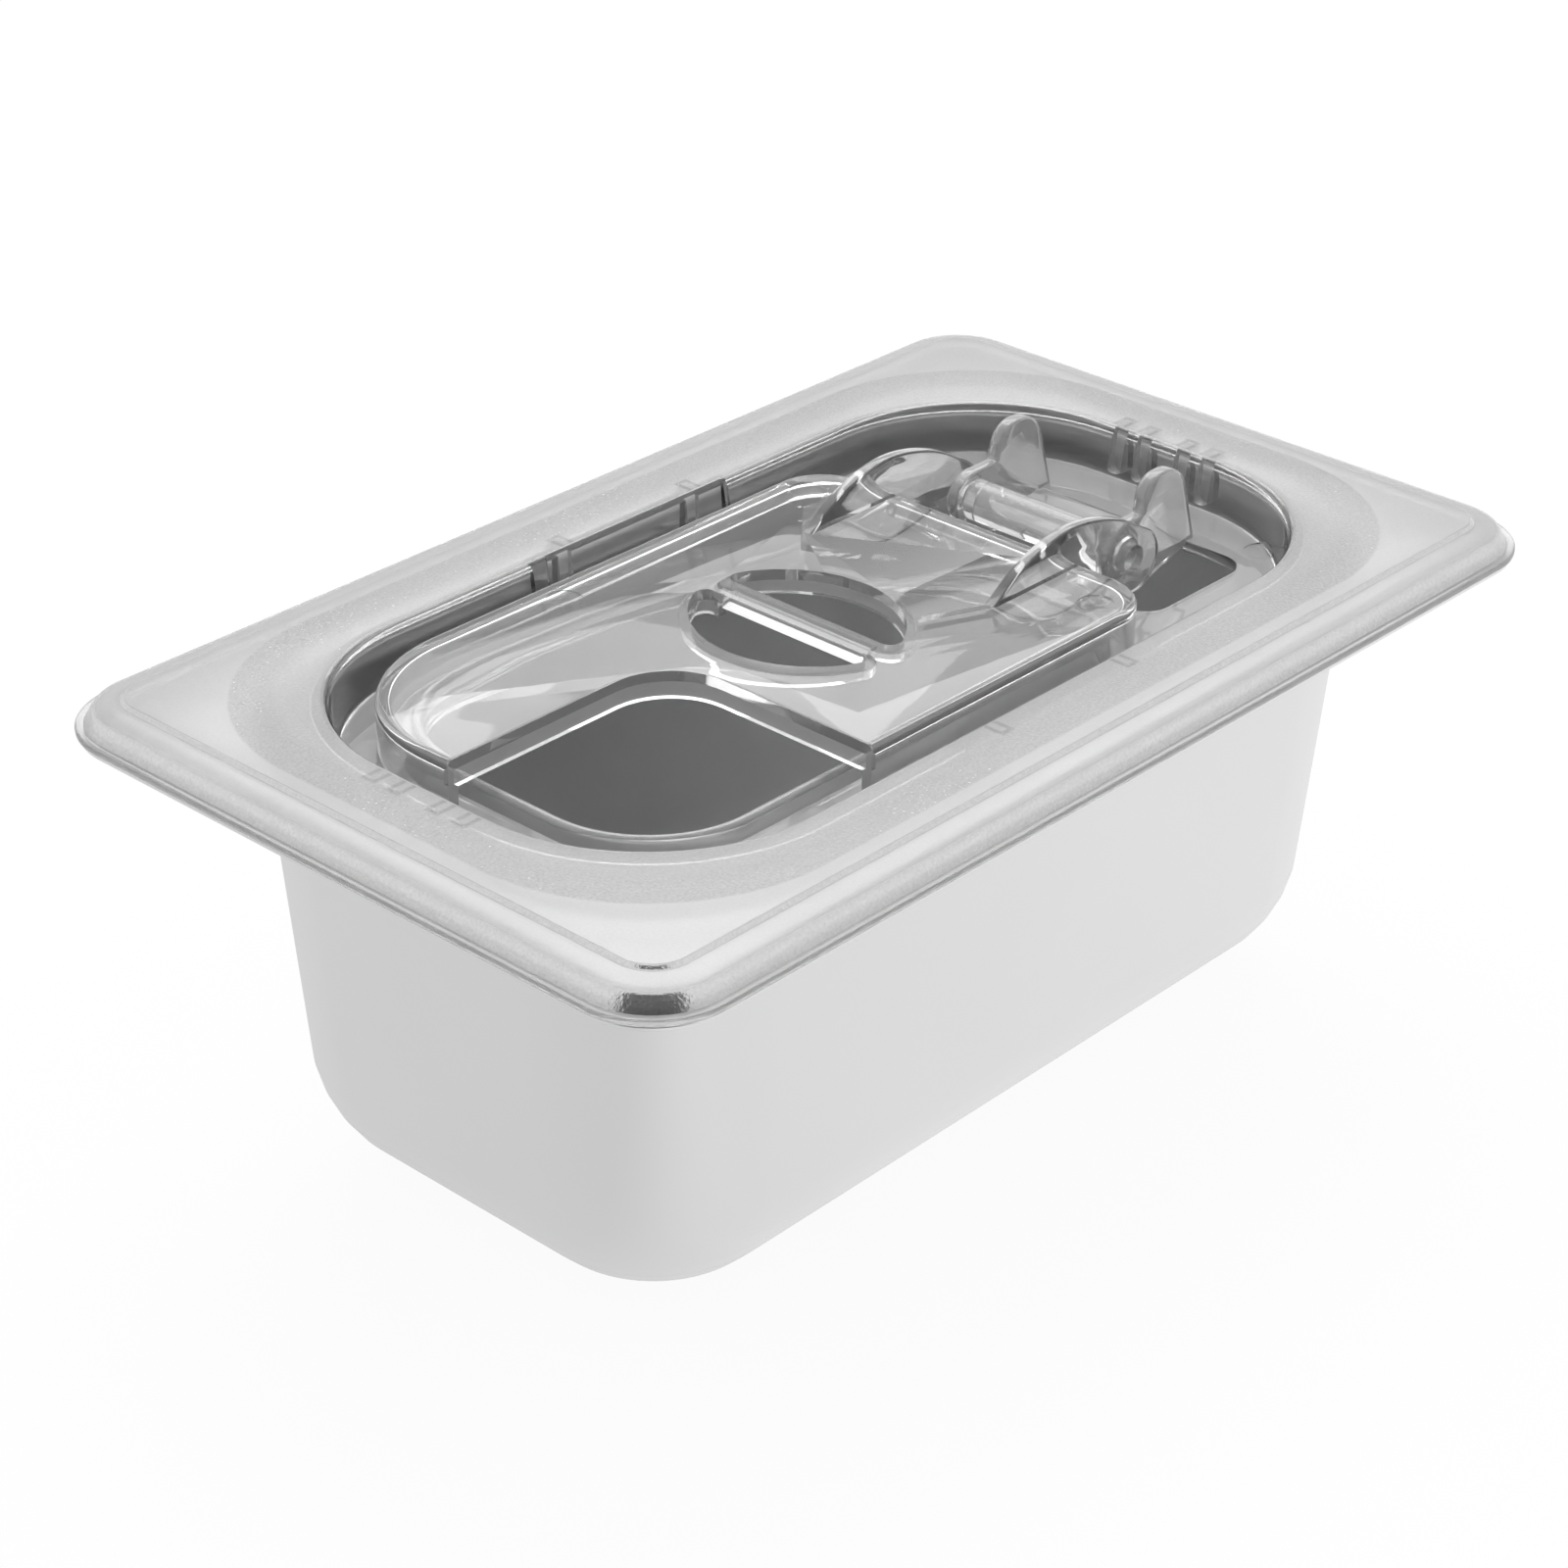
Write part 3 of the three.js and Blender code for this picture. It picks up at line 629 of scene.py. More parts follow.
def lid_shell(plan, *plastics):
    """The lid's flange, shoulder and well as one closed skin; the flange's top is frosted."""
    lid = plan.lid
    under = plan.lid_top - lid.wall
    foot = plan.flange_top + lid.lip
    step = lid.lip_step + lid.shoulder
    fillet, small = lid.fillet, lid.lip_seat / 8
    outer = lid.wall - lid.draft
    underside = [
        *bend(plan, well_outline, EDGE, outer, plan.floor_under, -fillet, fillet, level_first=True),
        *bend(plan, well_outline, EDGE, lid.wall, under, fillet, -fillet),
        lid_outline(plan, step, under),
        lid_outline(plan, lid.lip_seat, foot),
    ]
    lip = [
        *bend(plan, lid_outline, SMALL, lid.lip_seat, plan.flange_top, -small, small),
        *bend(plan, lid_outline, SMALL, 0, plan.flange_top, small, small, level_first=True),
        *bend(plan, lid_outline, SMALL, 0, foot, small, -small),
    ]
    flange = [lid_outline(plan, *point) for point in shoulder_profile(plan, foot)]
    for t in CREASE_STEPS:
        drop = lid.crease * (1 - t * t * (3 - 2 * t))
        flange.append(lid_outline(plan, step + lid.crease_run * t, plan.lid_top - drop))
    well = [
        *bend(plan, well_outline, EDGE, 0, plan.lid_top, lid.edge, -lid.edge, level_first=True),
        *bend(plan, well_outline, EDGE, -lid.draft, plan.well_floor, -fillet, fillet),
    ]
    parts = ((underside, 0), (lip, HINGE_CLEAR), (flange, FROSTED), (well, 0))
    slots = [slot for outlines, slot in parts for _ in outlines]
    bm = bmesh.new()
    for walls, slot in zip(loft(bm, underside + lip + flange + well, plan.corner_steps), slots):
        for face in walls:
            face.material_index = slot
    return new_object("clear_lid", new_mesh("clear_lid", bm), *plastics)


def bays(plan, inside, grow, low, high):
    """Drafted blocks on both long sides of the well."""
    lid = plan.lid
    bm = bmesh.new()
    half = lid.bay_length / 2 + grow
    outside = plan.well_half_width + lid.bay_depth + grow
    start, end = lid.bay_middle - half, lid.bay_middle + half
    for side in (-1, 1):
        verts = block(bm, (start, side * inside, low), (end, side * outside, high))
        lean = [v for v in verts if v.co.z < (low + high) / 2 and v.co.y * side > inside]
        bmesh.ops.translate(bm, vec=(0, -side * lid.draft, 0), verts=lean)
    return bm


def ribs(plan):
    """Ribs with round feet on the outside of the well's ends and bays."""
    lid = plan.lid
    bm = bmesh.new()
    low, high = plan.floor_under + lid.fillet, plan.lid_top - lid.wall * RIB_SINK
    half, spread = lid.rib_width / 2, lid.rib_spread / 2
    for side in (-1, 1):
        wall = side * (plan.well_half_length + lid.wall / 2)
        tip = side * (plan.well_half_length + lid.wall + lid.rib_reach)
        for y in (-lid.rib_far, -lid.rib_near, lid.rib_near, lid.rib_far):
            block(bm, (wall, y - half, low), (tip, y + half, high))
        wall = side * (plan.well_half_width + lid.bay_depth + lid.wall / 2)
        tip = side * (plan.well_half_width + lid.wall + lid.rib_reach)
        for x in (lid.bay_middle - spread, lid.bay_middle + spread):
            block(bm, (x - half, wall, low), (x + half, tip, high))
    lowest = [e for e in bm.edges if all(v.co.z < low + NEAR for v in e.verts)]
    feet = [e for e in lowest if abs(e.calc_length() - lid.rib_width) > NEAR]
    round_edges(bm, feet, lid.rib_width * RIB_FOOT, EDGE)
    return in_finish(bm, HINGE_CLEAR)


def collar(plan):
    """The collar round the main opening, with a rounded top."""
    lid = plan.lid
    bm = bmesh.new()
    low = plan.floor_under - 2 * OVERLAP
    radius = lid.collar_wall / 2
    crown = plan.collar_top - radius
    arch = [(radius * (1 - c), crown + radius * s) for c, s in quarter(RIM)]
    arch += [(radius * (1 + s), crown + radius * c) for c, s in quarter(RIM)[1:]]
    profile = [(0, low), *arch, (lid.collar_wall, low)]
    faces = [flap_outline(plan, lid.collar_inset + inset, z) for inset, z in profile]
    loft(bm, faces, plan.corner_steps, closed=True)
    return in_finish(bm, HINGE_CLEAR)


def floor_openings(plan):
    """The main opening inside the collar and the opening that the knuckles turn in."""
    lid, hinge = plan.lid, plan.hinge
    bm = bmesh.new()
    low = plan.floor_under - PASS
    main = flap_outline(plan, lid.collar_inset + lid.collar_wall / 2, low)
    half = plan.flap_half_width - lid.collar_inset - lid.collar_wall
    start = (plan.axis.x - hinge.knuckle - hinge.opening, -half)
    corner = hinge.opening_corner
    knuckles = Outline(start, (plan.deck_edge, half), low, corner, corner)
    for opening in (main, knuckles):
        prism(bm, opening.face(bm, plan.corner_steps), plan.well_floor + PASS - low)
    return bm


def ears(plan):
    """Two ears with the bosses of their sockets."""
    hinge, axis = plan.hinge, plan.axis
    bm = bmesh.new()
    base = plan.floor_middle
    foot = plan.deck_edge + hinge.ear_foot
    front = axis.x + hinge.ear_front
    crown = plan.well_floor + hinge.ear_height
    boss, soft = hinge.boss, hinge.soft_edge * 2
    corners = [
        (foot, base, 0),
        (foot - hinge.ear_lean, crown, hinge.ear_crown),
        (front, crown, hinge.ear_crown),
        (front, axis.y + boss, soft),
        (axis.x - boss, axis.y + boss, boss * WHOLE),
        (axis.x - boss, axis.y - boss, boss * WHOLE),
        (front, plan.floor_under - hinge.ear_drop, soft),
        (plan.deck_edge, base, 0),
    ]
    for near in (-plan.ear_outside, plan.ear_inside):
        side_plate(bm, corners, near, hinge.ear, hinge.soft_edge, CROWN)
    return in_finish(bm, HINGE_CLEAR)


def rod(plan):
    """The rod between the ears."""
    bm = bmesh.new()
    reach = plan.ear_inside + plan.hinge.ear / 4
    bar(bm, plan, plan.hinge.rod, -reach, reach)
    return in_finish(bm, HINGE_CLEAR)


def tongue(plan):
    """The floor's tongue between the ears."""
    hinge, edge = plan.hinge, plan.deck_edge
    bm = bmesh.new()
    reach = plan.ear_inside + hinge.ear / 4
    block(
        bm,
        (edge - hinge.tongue, -reach, plan.floor_under + OVERLAP),
        (edge + hinge.ear_foot / 2, reach, plan.well_floor - OVERLAP),
    )
    front = [e for e in bm.edges if all(v.co.x < edge for v in e.verts)]
    round_edges(bm, [e for e in front if e.calc_length() > reach], hinge.tongue_edge, SMALL)
    return in_finish(bm, HINGE_CLEAR)


def sockets(plan):
    """The sockets in the ears that the stub pins sit in."""
    bm = bmesh.new()
    for side in (-1, 1):
        end = side * (plan.ear_outside + PASS)
        bar(bm, plan, plan.hinge.socket, side * plan.ear_inside, end)
    return bm


def marks(plan, places, top):
    """Shallow round moulding marks to cut into a level face."""
    bm = bmesh.new()
    radius, depth = plan.lid.mark, plan.lid.mark_depth
    for x, y in places:
        bmesh.ops.create_cone(
            bm, cap_ends=True, segments=MARK_FACETS, radius1=radius, radius2=radius,
            depth=2 * depth, matrix=Matrix.Translation((x, y, top)),
        )
    return bm


def make_lid(plan, *plastics):
    """The lid base, joined from its shell, bays, ribs, collar and hinge ears."""
    lid, top, floor = plan.lid, plan.lid_top, plan.well_floor
    piece = lid_shell(plan, *plastics)
    wall_middle = plan.well_half_width + (lid.wall - lid.draft) / 2
    under = plan.floor_under + OVERLAP
    deck_marks = [(plan.deck_edge + lid.mark_inset, y) for y in (-lid.deck_mark, lid.deck_mark)]
    carve(piece, [
        ("UNION", bays(plan, wall_middle, lid.wall, under, top - lid.wall / 2)),
        ("DIFFERENCE", bays(plan, plan.flap_half_width, 0, floor + OVERLAP, top + PASS)),
        ("UNION", ribs(plan)),
        ("DIFFERENCE", floor_openings(plan)),
        ("UNION", collar(plan)),
        ("UNION", tongue(plan)),
        ("UNION", ears(plan)),
        ("UNION", rod(plan)),
        ("DIFFERENCE", sockets(plan)),
        ("DIFFERENCE", marks(plan, deck_marks, floor)),
    ])
    return piece


def flap_shell(plan, *plastics):
    """The flap's plate and skirt as one closed skin with a rounded edge."""
    flap = plan.flap
    low = plan.well_floor + 2 * REST_GAP
    fillet, small = flap.edge / 2, flap.skirt / 5
    under = plan.plate_under
    bm = bmesh.new()
    loft(bm, [
        *bend(plan, flap_outline, RIM, flap.skirt, under, fillet, -fillet, level_first=True),
        *bend(plan, flap_outline, SMALL, flap.skirt, low, -small, small),
        *bend(plan, flap_outline, SMALL, 0, low, small, small, level_first=True),
        *bend(plan, flap_outline, PLATE, 0, plan.lid_top, flap.edge, -flap.edge),
    ], plan.corner_steps)
    return new_object("clear_flap", new_mesh("clear_flap", bm), *plastics)


def notch_prism(plan, inset, low, high):
    """The corner that the notch takes out of the flap, moved towards the flap's middle."""
    bm = bmesh.new()
    corner = plan.notch + Vector((inset, inset))
    start = Vector((plan.flap_front - PASS, -plan.flap_half_width - PASS))
    inner = max(level_face(bm, start, corner, low), key=lambda v: v.co.x + v.co.y)
    made = round_points(bm, [inner], plan.flap.notch_corner + inset, plan.corner_steps)
    prism(bm, made[0].link_faces[0], high - low)
    return bm


def notch_wall(plan):
    """The wall that hangs round the notch, kept inside the skirt."""
    flap = plan.flap
    low = plan.lid_top - flap.notch_drop
    corner = notch_prism(plan, flap.notch_wall, low, plan.plate_middle)
    piece = new_object("wall", new_mesh("wall", corner))
    keep = bmesh.new()
    inside = flap_outline(plan, flap.skirt / 2, plan.well_floor)
    prism(keep, inside.face(keep, plan.corner_steps), flap.notch_drop + plan.lid.depth)
    carve(piece, [("INTERSECT", keep)])
    bm = bmesh.new()
    bm.from_mesh(piece.data)
    bpy.data.meshes.remove(piece.data)
    return bm


def grip_face(bm, plan, side, outward, z):
    """One finger opening in plan, swept by spinning a point: straight at the bar, round beyond."""
    flap = plan.flap
    half, depth = flap.grip_width / 2, flap.grip_depth
    arc = (half * half + depth * depth) / (2 * depth)
    centre = flap.bar / 2 + depth - arc
    tip_x = flap.bar / 2 + flap.grip_tip
    tip_y = math.sqrt((arc - flap.grip_tip) ** 2 - (tip_x - centre) ** 2)
    lean = math.atan2(tip_y, tip_x - centre)

    def place(x, y):
        return Vector((plan.grip_x + side * x, y, z))

    def sweep(vert, x, y, angle, steps):
        made = bmesh.ops.spin(
            bm, geom=[vert], cent=place(x, y), axis=(0, 0, side), dvec=(0, 0, 0),
            angle=angle, steps=steps,
        )["geom_last"]
        return of_kind(BMVert, made)[0]

    radius = arc + outward
    start = bm.verts.new(place(centre + radius * math.cos(lean), -radius * math.sin(lean)))
    last = sweep(start, centre, 0, 2 * lean, 2 * plan.corner_steps)
    last = sweep(last, tip_x, tip_y, math.pi - lean, plan.bend_steps)
    last = bmesh.ops.extrude_vert_indiv(bm, verts=[last])["verts"][0]
    bmesh.ops.translate(bm, vec=(0, -2 * tip_y, 0), verts=[last])
    sweep(last, tip_x, -tip_y, math.pi - lean, plan.bend_steps)
    outline = [v for v in bm.verts if not v.link_faces]
    bmesh.ops.remove_doubles(bm, verts=outline, dist=NEAR)
    edges = [e for e in bm.edges if not e.link_faces]
    return bmesh.ops.contextual_create(bm, geom=edges)["faces"][0]


def grips(plan, outward, low, high):
    """Both finger openings as solids."""
    bm = bmesh.new()
    for side in (-1, 1):
        prism(bm, grip_face(bm, plan, side, outward, low), high - low)
    return bm


def under_bar(plan, low):
    """The room under the bar, so that its underside is level with the plate's."""
    flap, x = plan.flap, plan.grip_x
    bm = bmesh.new()
    half = flap.bar / 2 + flap.grip_tip / 8
    reach = flap.grip_width / 2 - 2 * flap.grip_tip
    block(bm, (x - half, -reach, low), (x + half, reach, plan.plate_under))
    return bm


def arms(plan):
    """Two hinge arms: a foot on the plate, a crest and a knuckle round the axis."""
    hinge, axis = plan.hinge, plan.axis
    bm = bmesh.new()
    crest = plan.lid_top + hinge.arm_rise
    out = Vector((math.cos(hinge.arm_fall), math.sin(hinge.arm_fall)))
    along = Vector((out.y, -out.x))
    radius = hinge.knuckle
    upper = axis + radius * (out + along)
    lower = axis + radius * (along - out)
    leave = axis - radius * out
    rise = plan.arm_tip + hinge.arm_rise / math.tan(hinge.arm_slope)
    tangent = axis + radius * out
    fall = tangent.x - (crest - tangent.y) * math.tan(hinge.arm_fall)
    inside = plan.flap_rear - plan.flap.skirt / 2
    corners = [
        (plan.arm_tip, plan.lid_top, 0),
        (rise, crest, hinge.arm_round),
        (fall, crest, hinge.arm_round * BACK_ROUND),
        (*upper, radius * WHOLE),
        (*lower, radius * WHOLE),
        (*leave, 0),
        (inside, plan.plate_under - plan.flap.skirt, 0),
        (inside, plan.plate_middle, 0),
        (plan.arm_tip, plan.plate_middle, 0),
    ]
    for near in (-plan.arm_inside - hinge.arm, plan.arm_inside):
        side_plate(bm, corners, near, hinge.arm, hinge.soft_edge, CREST)
    return in_finish(bm, ARMS)


def pins(plan):
    """The stub pins on the arms."""
    hinge = plan.hinge
    bm = bmesh.new()
    for side in (-1, 1):
        start = side * (plan.ear_inside + hinge.socket - hinge.pin)
        bar(bm, plan, hinge.pin, start, side * (plan.arm_inside + hinge.arm / 2))
    return bm


def make_flap(plan, *plastics):
    """The flap, joined from plate, notch wall, finger rims, arms and pins."""
    flap, top = plan.flap, plan.lid_top
    piece = flap_shell(plan, *plastics)
    rim_low = plan.plate_under - flap.grip_drop
    carve(piece, [
        ("UNION", notch_wall(plan)),
        ("UNION", grips(plan, flap.grip_rim, rim_low, plan.plate_middle)),
        ("DIFFERENCE", under_bar(plan, rim_low - PASS)),
        ("DIFFERENCE", grips(plan, 0, rim_low - PASS, top + PASS)),
        ("DIFFERENCE", notch_prism(plan, 0, plan.well_floor - PASS, top + PASS)),
    ])
    soften(piece, lambda e: all(abs(v.co.z - top) < NEAR for v in e.verts), flap.cut_edge, RIM)
    side = plan.flap_half_width - plan.lid.mark_inset
    rear = plan.flap_rear - flap.rear_corner
    flap_marks = [(rear, -side), (rear, side), (plan.notch.x + plan.lid.mark, side)]
    carve(piece, [
        ("UNION", arms(plan)),
        ("UNION", pins(plan)),
        ("DIFFERENCE", marks(plan, flap_marks, top)),
    ])
    return piece


# Noise per metre: the grain of steel and frost, the clouds of each, and the flow of clear plastic.
GRAIN, STEEL_CLOUD, FROST_CLOUD, FLOW = 2600, 28, 40, 90
# How far up a normal points on level faces and on walls.
LEVEL, WALL = 0.98, 0.7
# How far a normal times its place points inwards on the pan's inner walls.
INWARD = -0.02
# Where along the pan its inner walls start to darken from painted light, and where their painted
# shade is darkest.
SHADE_START, SHADE_END = 0.05, -0.02
# Half the width of the soft edges of the painted shade along the ribs' outlines and over the pan's
# throat.
RIB_SOFT, THROAT_SOFT = 0.00025, 0.0003
# How much the throat's shade fades towards the well.
THROAT_FADE = 0.6
# A rib's core, left without painted shade: the share of its width, and how much shorter a core of
# no width would be.
RIB_CORE, RIB_SHRINK = 0.45, 0.3
# Strength and height in metres of the relief of grain, flow and sparkle.
GRAIN_RELIEF, FLOW_RELIEF, SPARKLE_RELIEF = (0.04, 0.0001), (0.05, 0.0003), (0.6, 0.0002)
# The mean of a noise.
MEAN = 0.5
WHITE, BLACK = (1, 1, 1, 1), (0, 0, 0, 1)


class Wire:
    """A shader value that takes part in Python arithmetic; each operation adds a Math node."""

    def __init__(self, paint, socket):
        self.paint, self.socket = paint, socket

    def __add__(self, other):
        return self.paint.math("ADD", self, other)

    def __mul__(self, other):
        return self.paint.math("MULTIPLY", self, other)

    def __sub__(self, other):
        return self.paint.math("SUBTRACT", self, other)

    def __rsub__(self, other):
        return self.paint.math("SUBTRACT", other, self)

    def __abs__(self):
        return self.paint.math("ABSOLUTE", self)

    __radd__ = __add__
    __rmul__ = __mul__


class Paint:
    """A node tree under construction."""

    def __init__(self, tree):
        self.tree = tree
        tree.nodes.clear()

    def node(self, kind, values=None, out=0, **settings):
        """Adds a node: its settings first, then its sockets' values or links; returns an output."""
        made = self.tree.nodes.new("ShaderNode" + kind)
        for name, value in settings.items():
            setattr(made, name, value)
        for name, value in (values or {}).items():
            if isinstance(value, Wire):
                self.tree.links.new(value.socket, made.inputs[name])
            else:
                made.inputs[name].default_value = value
        return Wire(self, made.outputs[out]) if made.outputs else None

    def math(self, operation, *terms):
        """A sum, product or other number from numbers."""
        return self.node("Math", dict(enumerate(terms)), operation=operation)

    def ramp(self, value, low, high):
        """Nothing at one value, one at another, smooth between them."""
        return self.node("MapRange", {
            "Value": value, "From Min": low, "From Max": high, "To Min": 0.0, "To Max": 1.0,
        }, interpolation_type="SMOOTHSTEP")

    def between(self, value, low, high):
        """One between two values, with soft ends."""
        start = self.ramp(value, low - RIB_SOFT, low + RIB_SOFT)
        return start * self.ramp(value, high + RIB_SOFT, high - RIB_SOFT)

    def place(self):
        """The place on the piece."""
        return self.node("TexCoord", out="Object")

    def normal(self):
        """The way that the piece's face points."""
        return self.node("TexCoord", out="Normal")

    def along(self, axis, vector):
        """One coordinate of a place or of a direction."""
        return self.node("SeparateXYZ", {"Vector": vector}, out=axis)

    def dot(self, one, other):
        """How far one vector lies along another."""
        return self.node("VectorMath", {0: one, 1: other}, out="Value", operation="DOT_PRODUCT")

    def noise(self, scale, detail=2):
        """Noise between nothing and one, fixed to the piece."""
        values = {"Vector": self.place(), "Scale": scale, "Detail": detail}
        return self.node("TexNoise", values)

    def shaded(self, colour, shade):
        """A colour made darker or lighter."""
        return self.node("VectorMath", {0: (*colour,), "Scale": shade}, operation="SCALE")

    def bump(self, height, strength, distance):
        """Relief from a height."""
        return self.node("Bump", {"Strength": strength, "Distance": distance, "Height": height})

    def surface(self, colour, rough, relief, **more):
        """A principled surface."""
        values = {"Base Color": colour, "Roughness": rough, "Normal": relief}
        return self.node("BsdfPrincipled", {**values, **more})

    def plastic(self, colour, rough, relief, finish, passes):
        """A principled surface that passes light."""
        optics = {"IOR": finish.refraction, "Transmission Weight": passes}
        return self.surface(colour, rough, relief, **optics)

    def mix(self, factor, one, other):
        """One shader at nothing and the other at one."""
        return self.node("MixShader", {0: factor, 1: one, 2: other})

    def steepness(self):
        """Nothing on level faces and one on walls."""
        return self.ramp(abs(self.along("Z", self.normal())), LEVEL, WALL)

    def done(self, surface, kind="OutputMaterial"):
        """Leads a surface out of the tree."""
        self.node(kind, {"Surface": surface})


def new_paint(name):
    """A material and the tree that it is painted in."""
    material = bpy.data.materials.new(name)
    material.use_nodes = True
    return material, Paint(material.node_tree)


def outside_box(paint, half_length, half_width, corner):
    """Distance in plan from a box with rounded corners, less than nothing inside it."""
    place = paint.place()
    x = abs(paint.along("X", place)) - (half_length - corner)
    y = abs(paint.along("Y", place)) - (half_width - corner)
    beyond_x, beyond_y = (paint.math("MAXIMUM", value, 0.0) for value in (x, y))
    beyond = paint.math("SQRT", beyond_x * beyond_x + beyond_y * beyond_y)
    return beyond + paint.math("MINIMUM", paint.math("MAXIMUM", x, y), 0.0) - corner


def rib_tops(paint, plan, part):
    """One over a part of the ribs' width in plan, which places the painted shade of their outlines
    on the flange.
    """
    lid, length, width = plan.lid, plan.well_half_length, plan.well_half_width
    half, spread = lid.rib_width / 2 * part, lid.rib_spread / 2
    reach = (lid.wall + lid.rib_reach) * (1 - RIB_SHRINK * (1 - part))
    place = paint.place()
    x, y = (paint.along(axis, place) for axis in "XY")
    along, x, y = abs(x - lid.bay_middle), abs(x), abs(y)
    ends = sum(paint.between(y, rib - half, rib + half) for rib in (lid.rib_near, lid.rib_far))
    ends = ends * paint.between(x, length, length + reach)
    sides = paint.between(along, spread - half, spread + half)
    return ends + sides * paint.between(y, width, width + reach)


def steel_material(finish):
    """Satin drawn steel with fine grain and faint clouds, rougher on its inner walls, which carry
    painted shade in front and painted light behind.
    """
    material, paint = new_paint("satin_steel")
    place = paint.place()
    grain, cloud = paint.noise(GRAIN), paint.noise(STEEL_CLOUD, 3)
    inside = paint.ramp(paint.dot(paint.normal(), place), 0.0, INWARD)
    rough = finish.steel_rough + finish.inside_rough * inside
    rough = rough + finish.steel_cloud * (cloud - MEAN) + finish.steel_grain * (grain - MEAN)
    # Painted shade in front and painted light behind on the pan's inner walls, as a scale on the
    # colour.
    front = paint.ramp(paint.along("X", place), SHADE_START, SHADE_END)
    inner = finish.inside_light - (finish.inside_light + finish.inside_shade) * front
    shade = 1.0 + finish.cloud_shade * (cloud - MEAN) + inside * inner
    colour = paint.shaded(finish.steel, shade)
    relief = paint.bump(grain, *GRAIN_RELIEF)
    paint.done(paint.surface(colour, rough, relief, Metallic=1.0))
    return material


def clear_material(name, finish, level_pass, wall_pass, wall_shade):
    """Clear glossy plastic with faint moulding flow; its walls may be hazier and carry painted
    shade.
    """
    material, paint = new_paint(name)
    flow = paint.noise(FLOW)
    steep = paint.steepness()
    # Painted shade: walls darkened by wall_shade.
    colour = paint.shaded(finish.clear, 1.0 - wall_shade * steep - finish.flow_shade * flow)
    rough = finish.clear_rough + finish.flow_rough * flow
    relief = paint.bump(flow, *FLOW_RELIEF)
    level, wall = (
        paint.plastic(colour, rough, relief, finish, passes) for passes in (level_pass, wall_pass)
    )
    paint.done(paint.mix(steep, level, wall))
    return material


def frosted_material(plan, finish):
    """Frosted plastic: sparkling over the pan's throat and on slopes, with a sheen on slopes;
    painted shade over the pan's throat, along the ribs' outlines and at the sheen's foot.
    """
    material, paint = new_paint("frosted_plastic")
    grain, cloud = paint.noise(GRAIN), paint.noise(FROST_CLOUD)
    bend_width = plan.pan.throat_bend + plan.pan.sheet
    inset = plan.pan.reach - bend_width
    corner = plan.pan.body_corner + bend_width
    # Painted shade: the frost is darker over the pan's throat.
    outside = outside_box(paint, plan.half_length - inset, plan.half_width - inset, corner)
    fade = 1.0 - THROAT_FADE * paint.ramp(outside, -bend_width, -2 * bend_width)
    throat = paint.ramp(outside, THROAT_SOFT, -THROAT_SOFT) * fade
    steep = paint.steepness()
    amount = finish.sparkle + finish.throat_sparkle * throat + finish.slope_sparkle * steep
    sparkle = (grain - MEAN) * amount
    rough = finish.frost_rough + finish.sparkle_rough * sparkle
    rough = rough + finish.frost_cloud * (cloud - MEAN)
    relief = paint.bump(sparkle, *SPARKLE_RELIEF)
    # Painted shade along the ribs' outlines.
    rib_outline_shade = rib_tops(paint, plan, 1.0) - rib_tops(paint, plan, RIB_CORE)
    shade = (1.0 - finish.throat_shade * throat - finish.rib_shade * rib_outline_shade) * (1.0 + sparkle)
    colour = paint.shaded(finish.frost, shade)
    frost = paint.plastic(colour, rough, relief, finish, finish.frost_pass)
    # Painted shade on the sheen: darker at the shoulder's foot, lighter towards its top.
    foot = plan.flange_top + plan.lid.lip
    rise = paint.ramp(paint.along("Z", paint.place()), foot, foot + plan.lid.slope)
    level = finish.sheen_level + finish.sheen_rise * rise + finish.sheen_sparkle * sparkle
    satin = paint.shaded(finish.frost, level)
    sheen = paint.surface(satin, finish.sheen_rough, relief, Metallic=1.0)
    paint.done(paint.mix(finish.frost_sheen * steep, frost, sheen))
    return material


# Places and sizes of the lamps, in metres.
OVERHEAD_PLACE, OVERHEAD_SIZE = (0.55, 0.5, 0.95), (0.8, 0.8)
BACK_PLACE, BACK_SIZE = (0.83, 0.76, 0.66), (1.1, 0.8)
# The dark card: its distance, its lower and upper edge, its reach to either side, facets and grey.
CARD_RADIUS, CARD_EDGES, CARD_REACH = 1.2, (0.02, 2.2), math.radians(40)
CARD_FACETS, CARD_COLOUR = 24, (0.02, 0.02, 0.02, 1)
# Half the floor's width, and where its painted shade in reflections starts and is darkest, across
# the room.
FLOOR_REACH, MIRROR_SHADE_START, MIRROR_SHADE_END = 60, 0.01, -0.04
# The camera's sensor in millimetres and the nearest distance that it sees.
SENSOR, NEAREST = 36, 0.01


def set_camera(scene, studio):
    """A camera at the photographed angle."""
    data = bpy.data.cameras.new("camera")
    data.lens, data.sensor_width, data.clip_start = studio.lens, SENSOR, NEAREST
    camera = in_scene(bpy.data.objects.new("camera", data))
    level = math.cos(studio.elevation)
    back = Vector((
        math.sin(studio.azimuth) * level,
        -math.cos(studio.azimuth) * level,
        math.sin(studio.elevation),
    ))
    turn = back.to_track_quat("Z", "Y") @ Quaternion((0, 0, 1), -studio.roll)
    camera.rotation_euler = turn.to_euler()
    camera.location = studio.place
    scene.camera = camera


def seen_directly(paint):
    """One for rays from the eye, straight or by way of metal and plastic."""
    kinds = ("Is Camera Ray", "Is Glossy Ray", "Is Transmission Ray")
    eye, mirror, through = (paint.node("LightPath", out=kind) for kind in kinds)
    return paint.math("MAXIMUM", eye, paint.math("MAXIMUM", mirror, through))


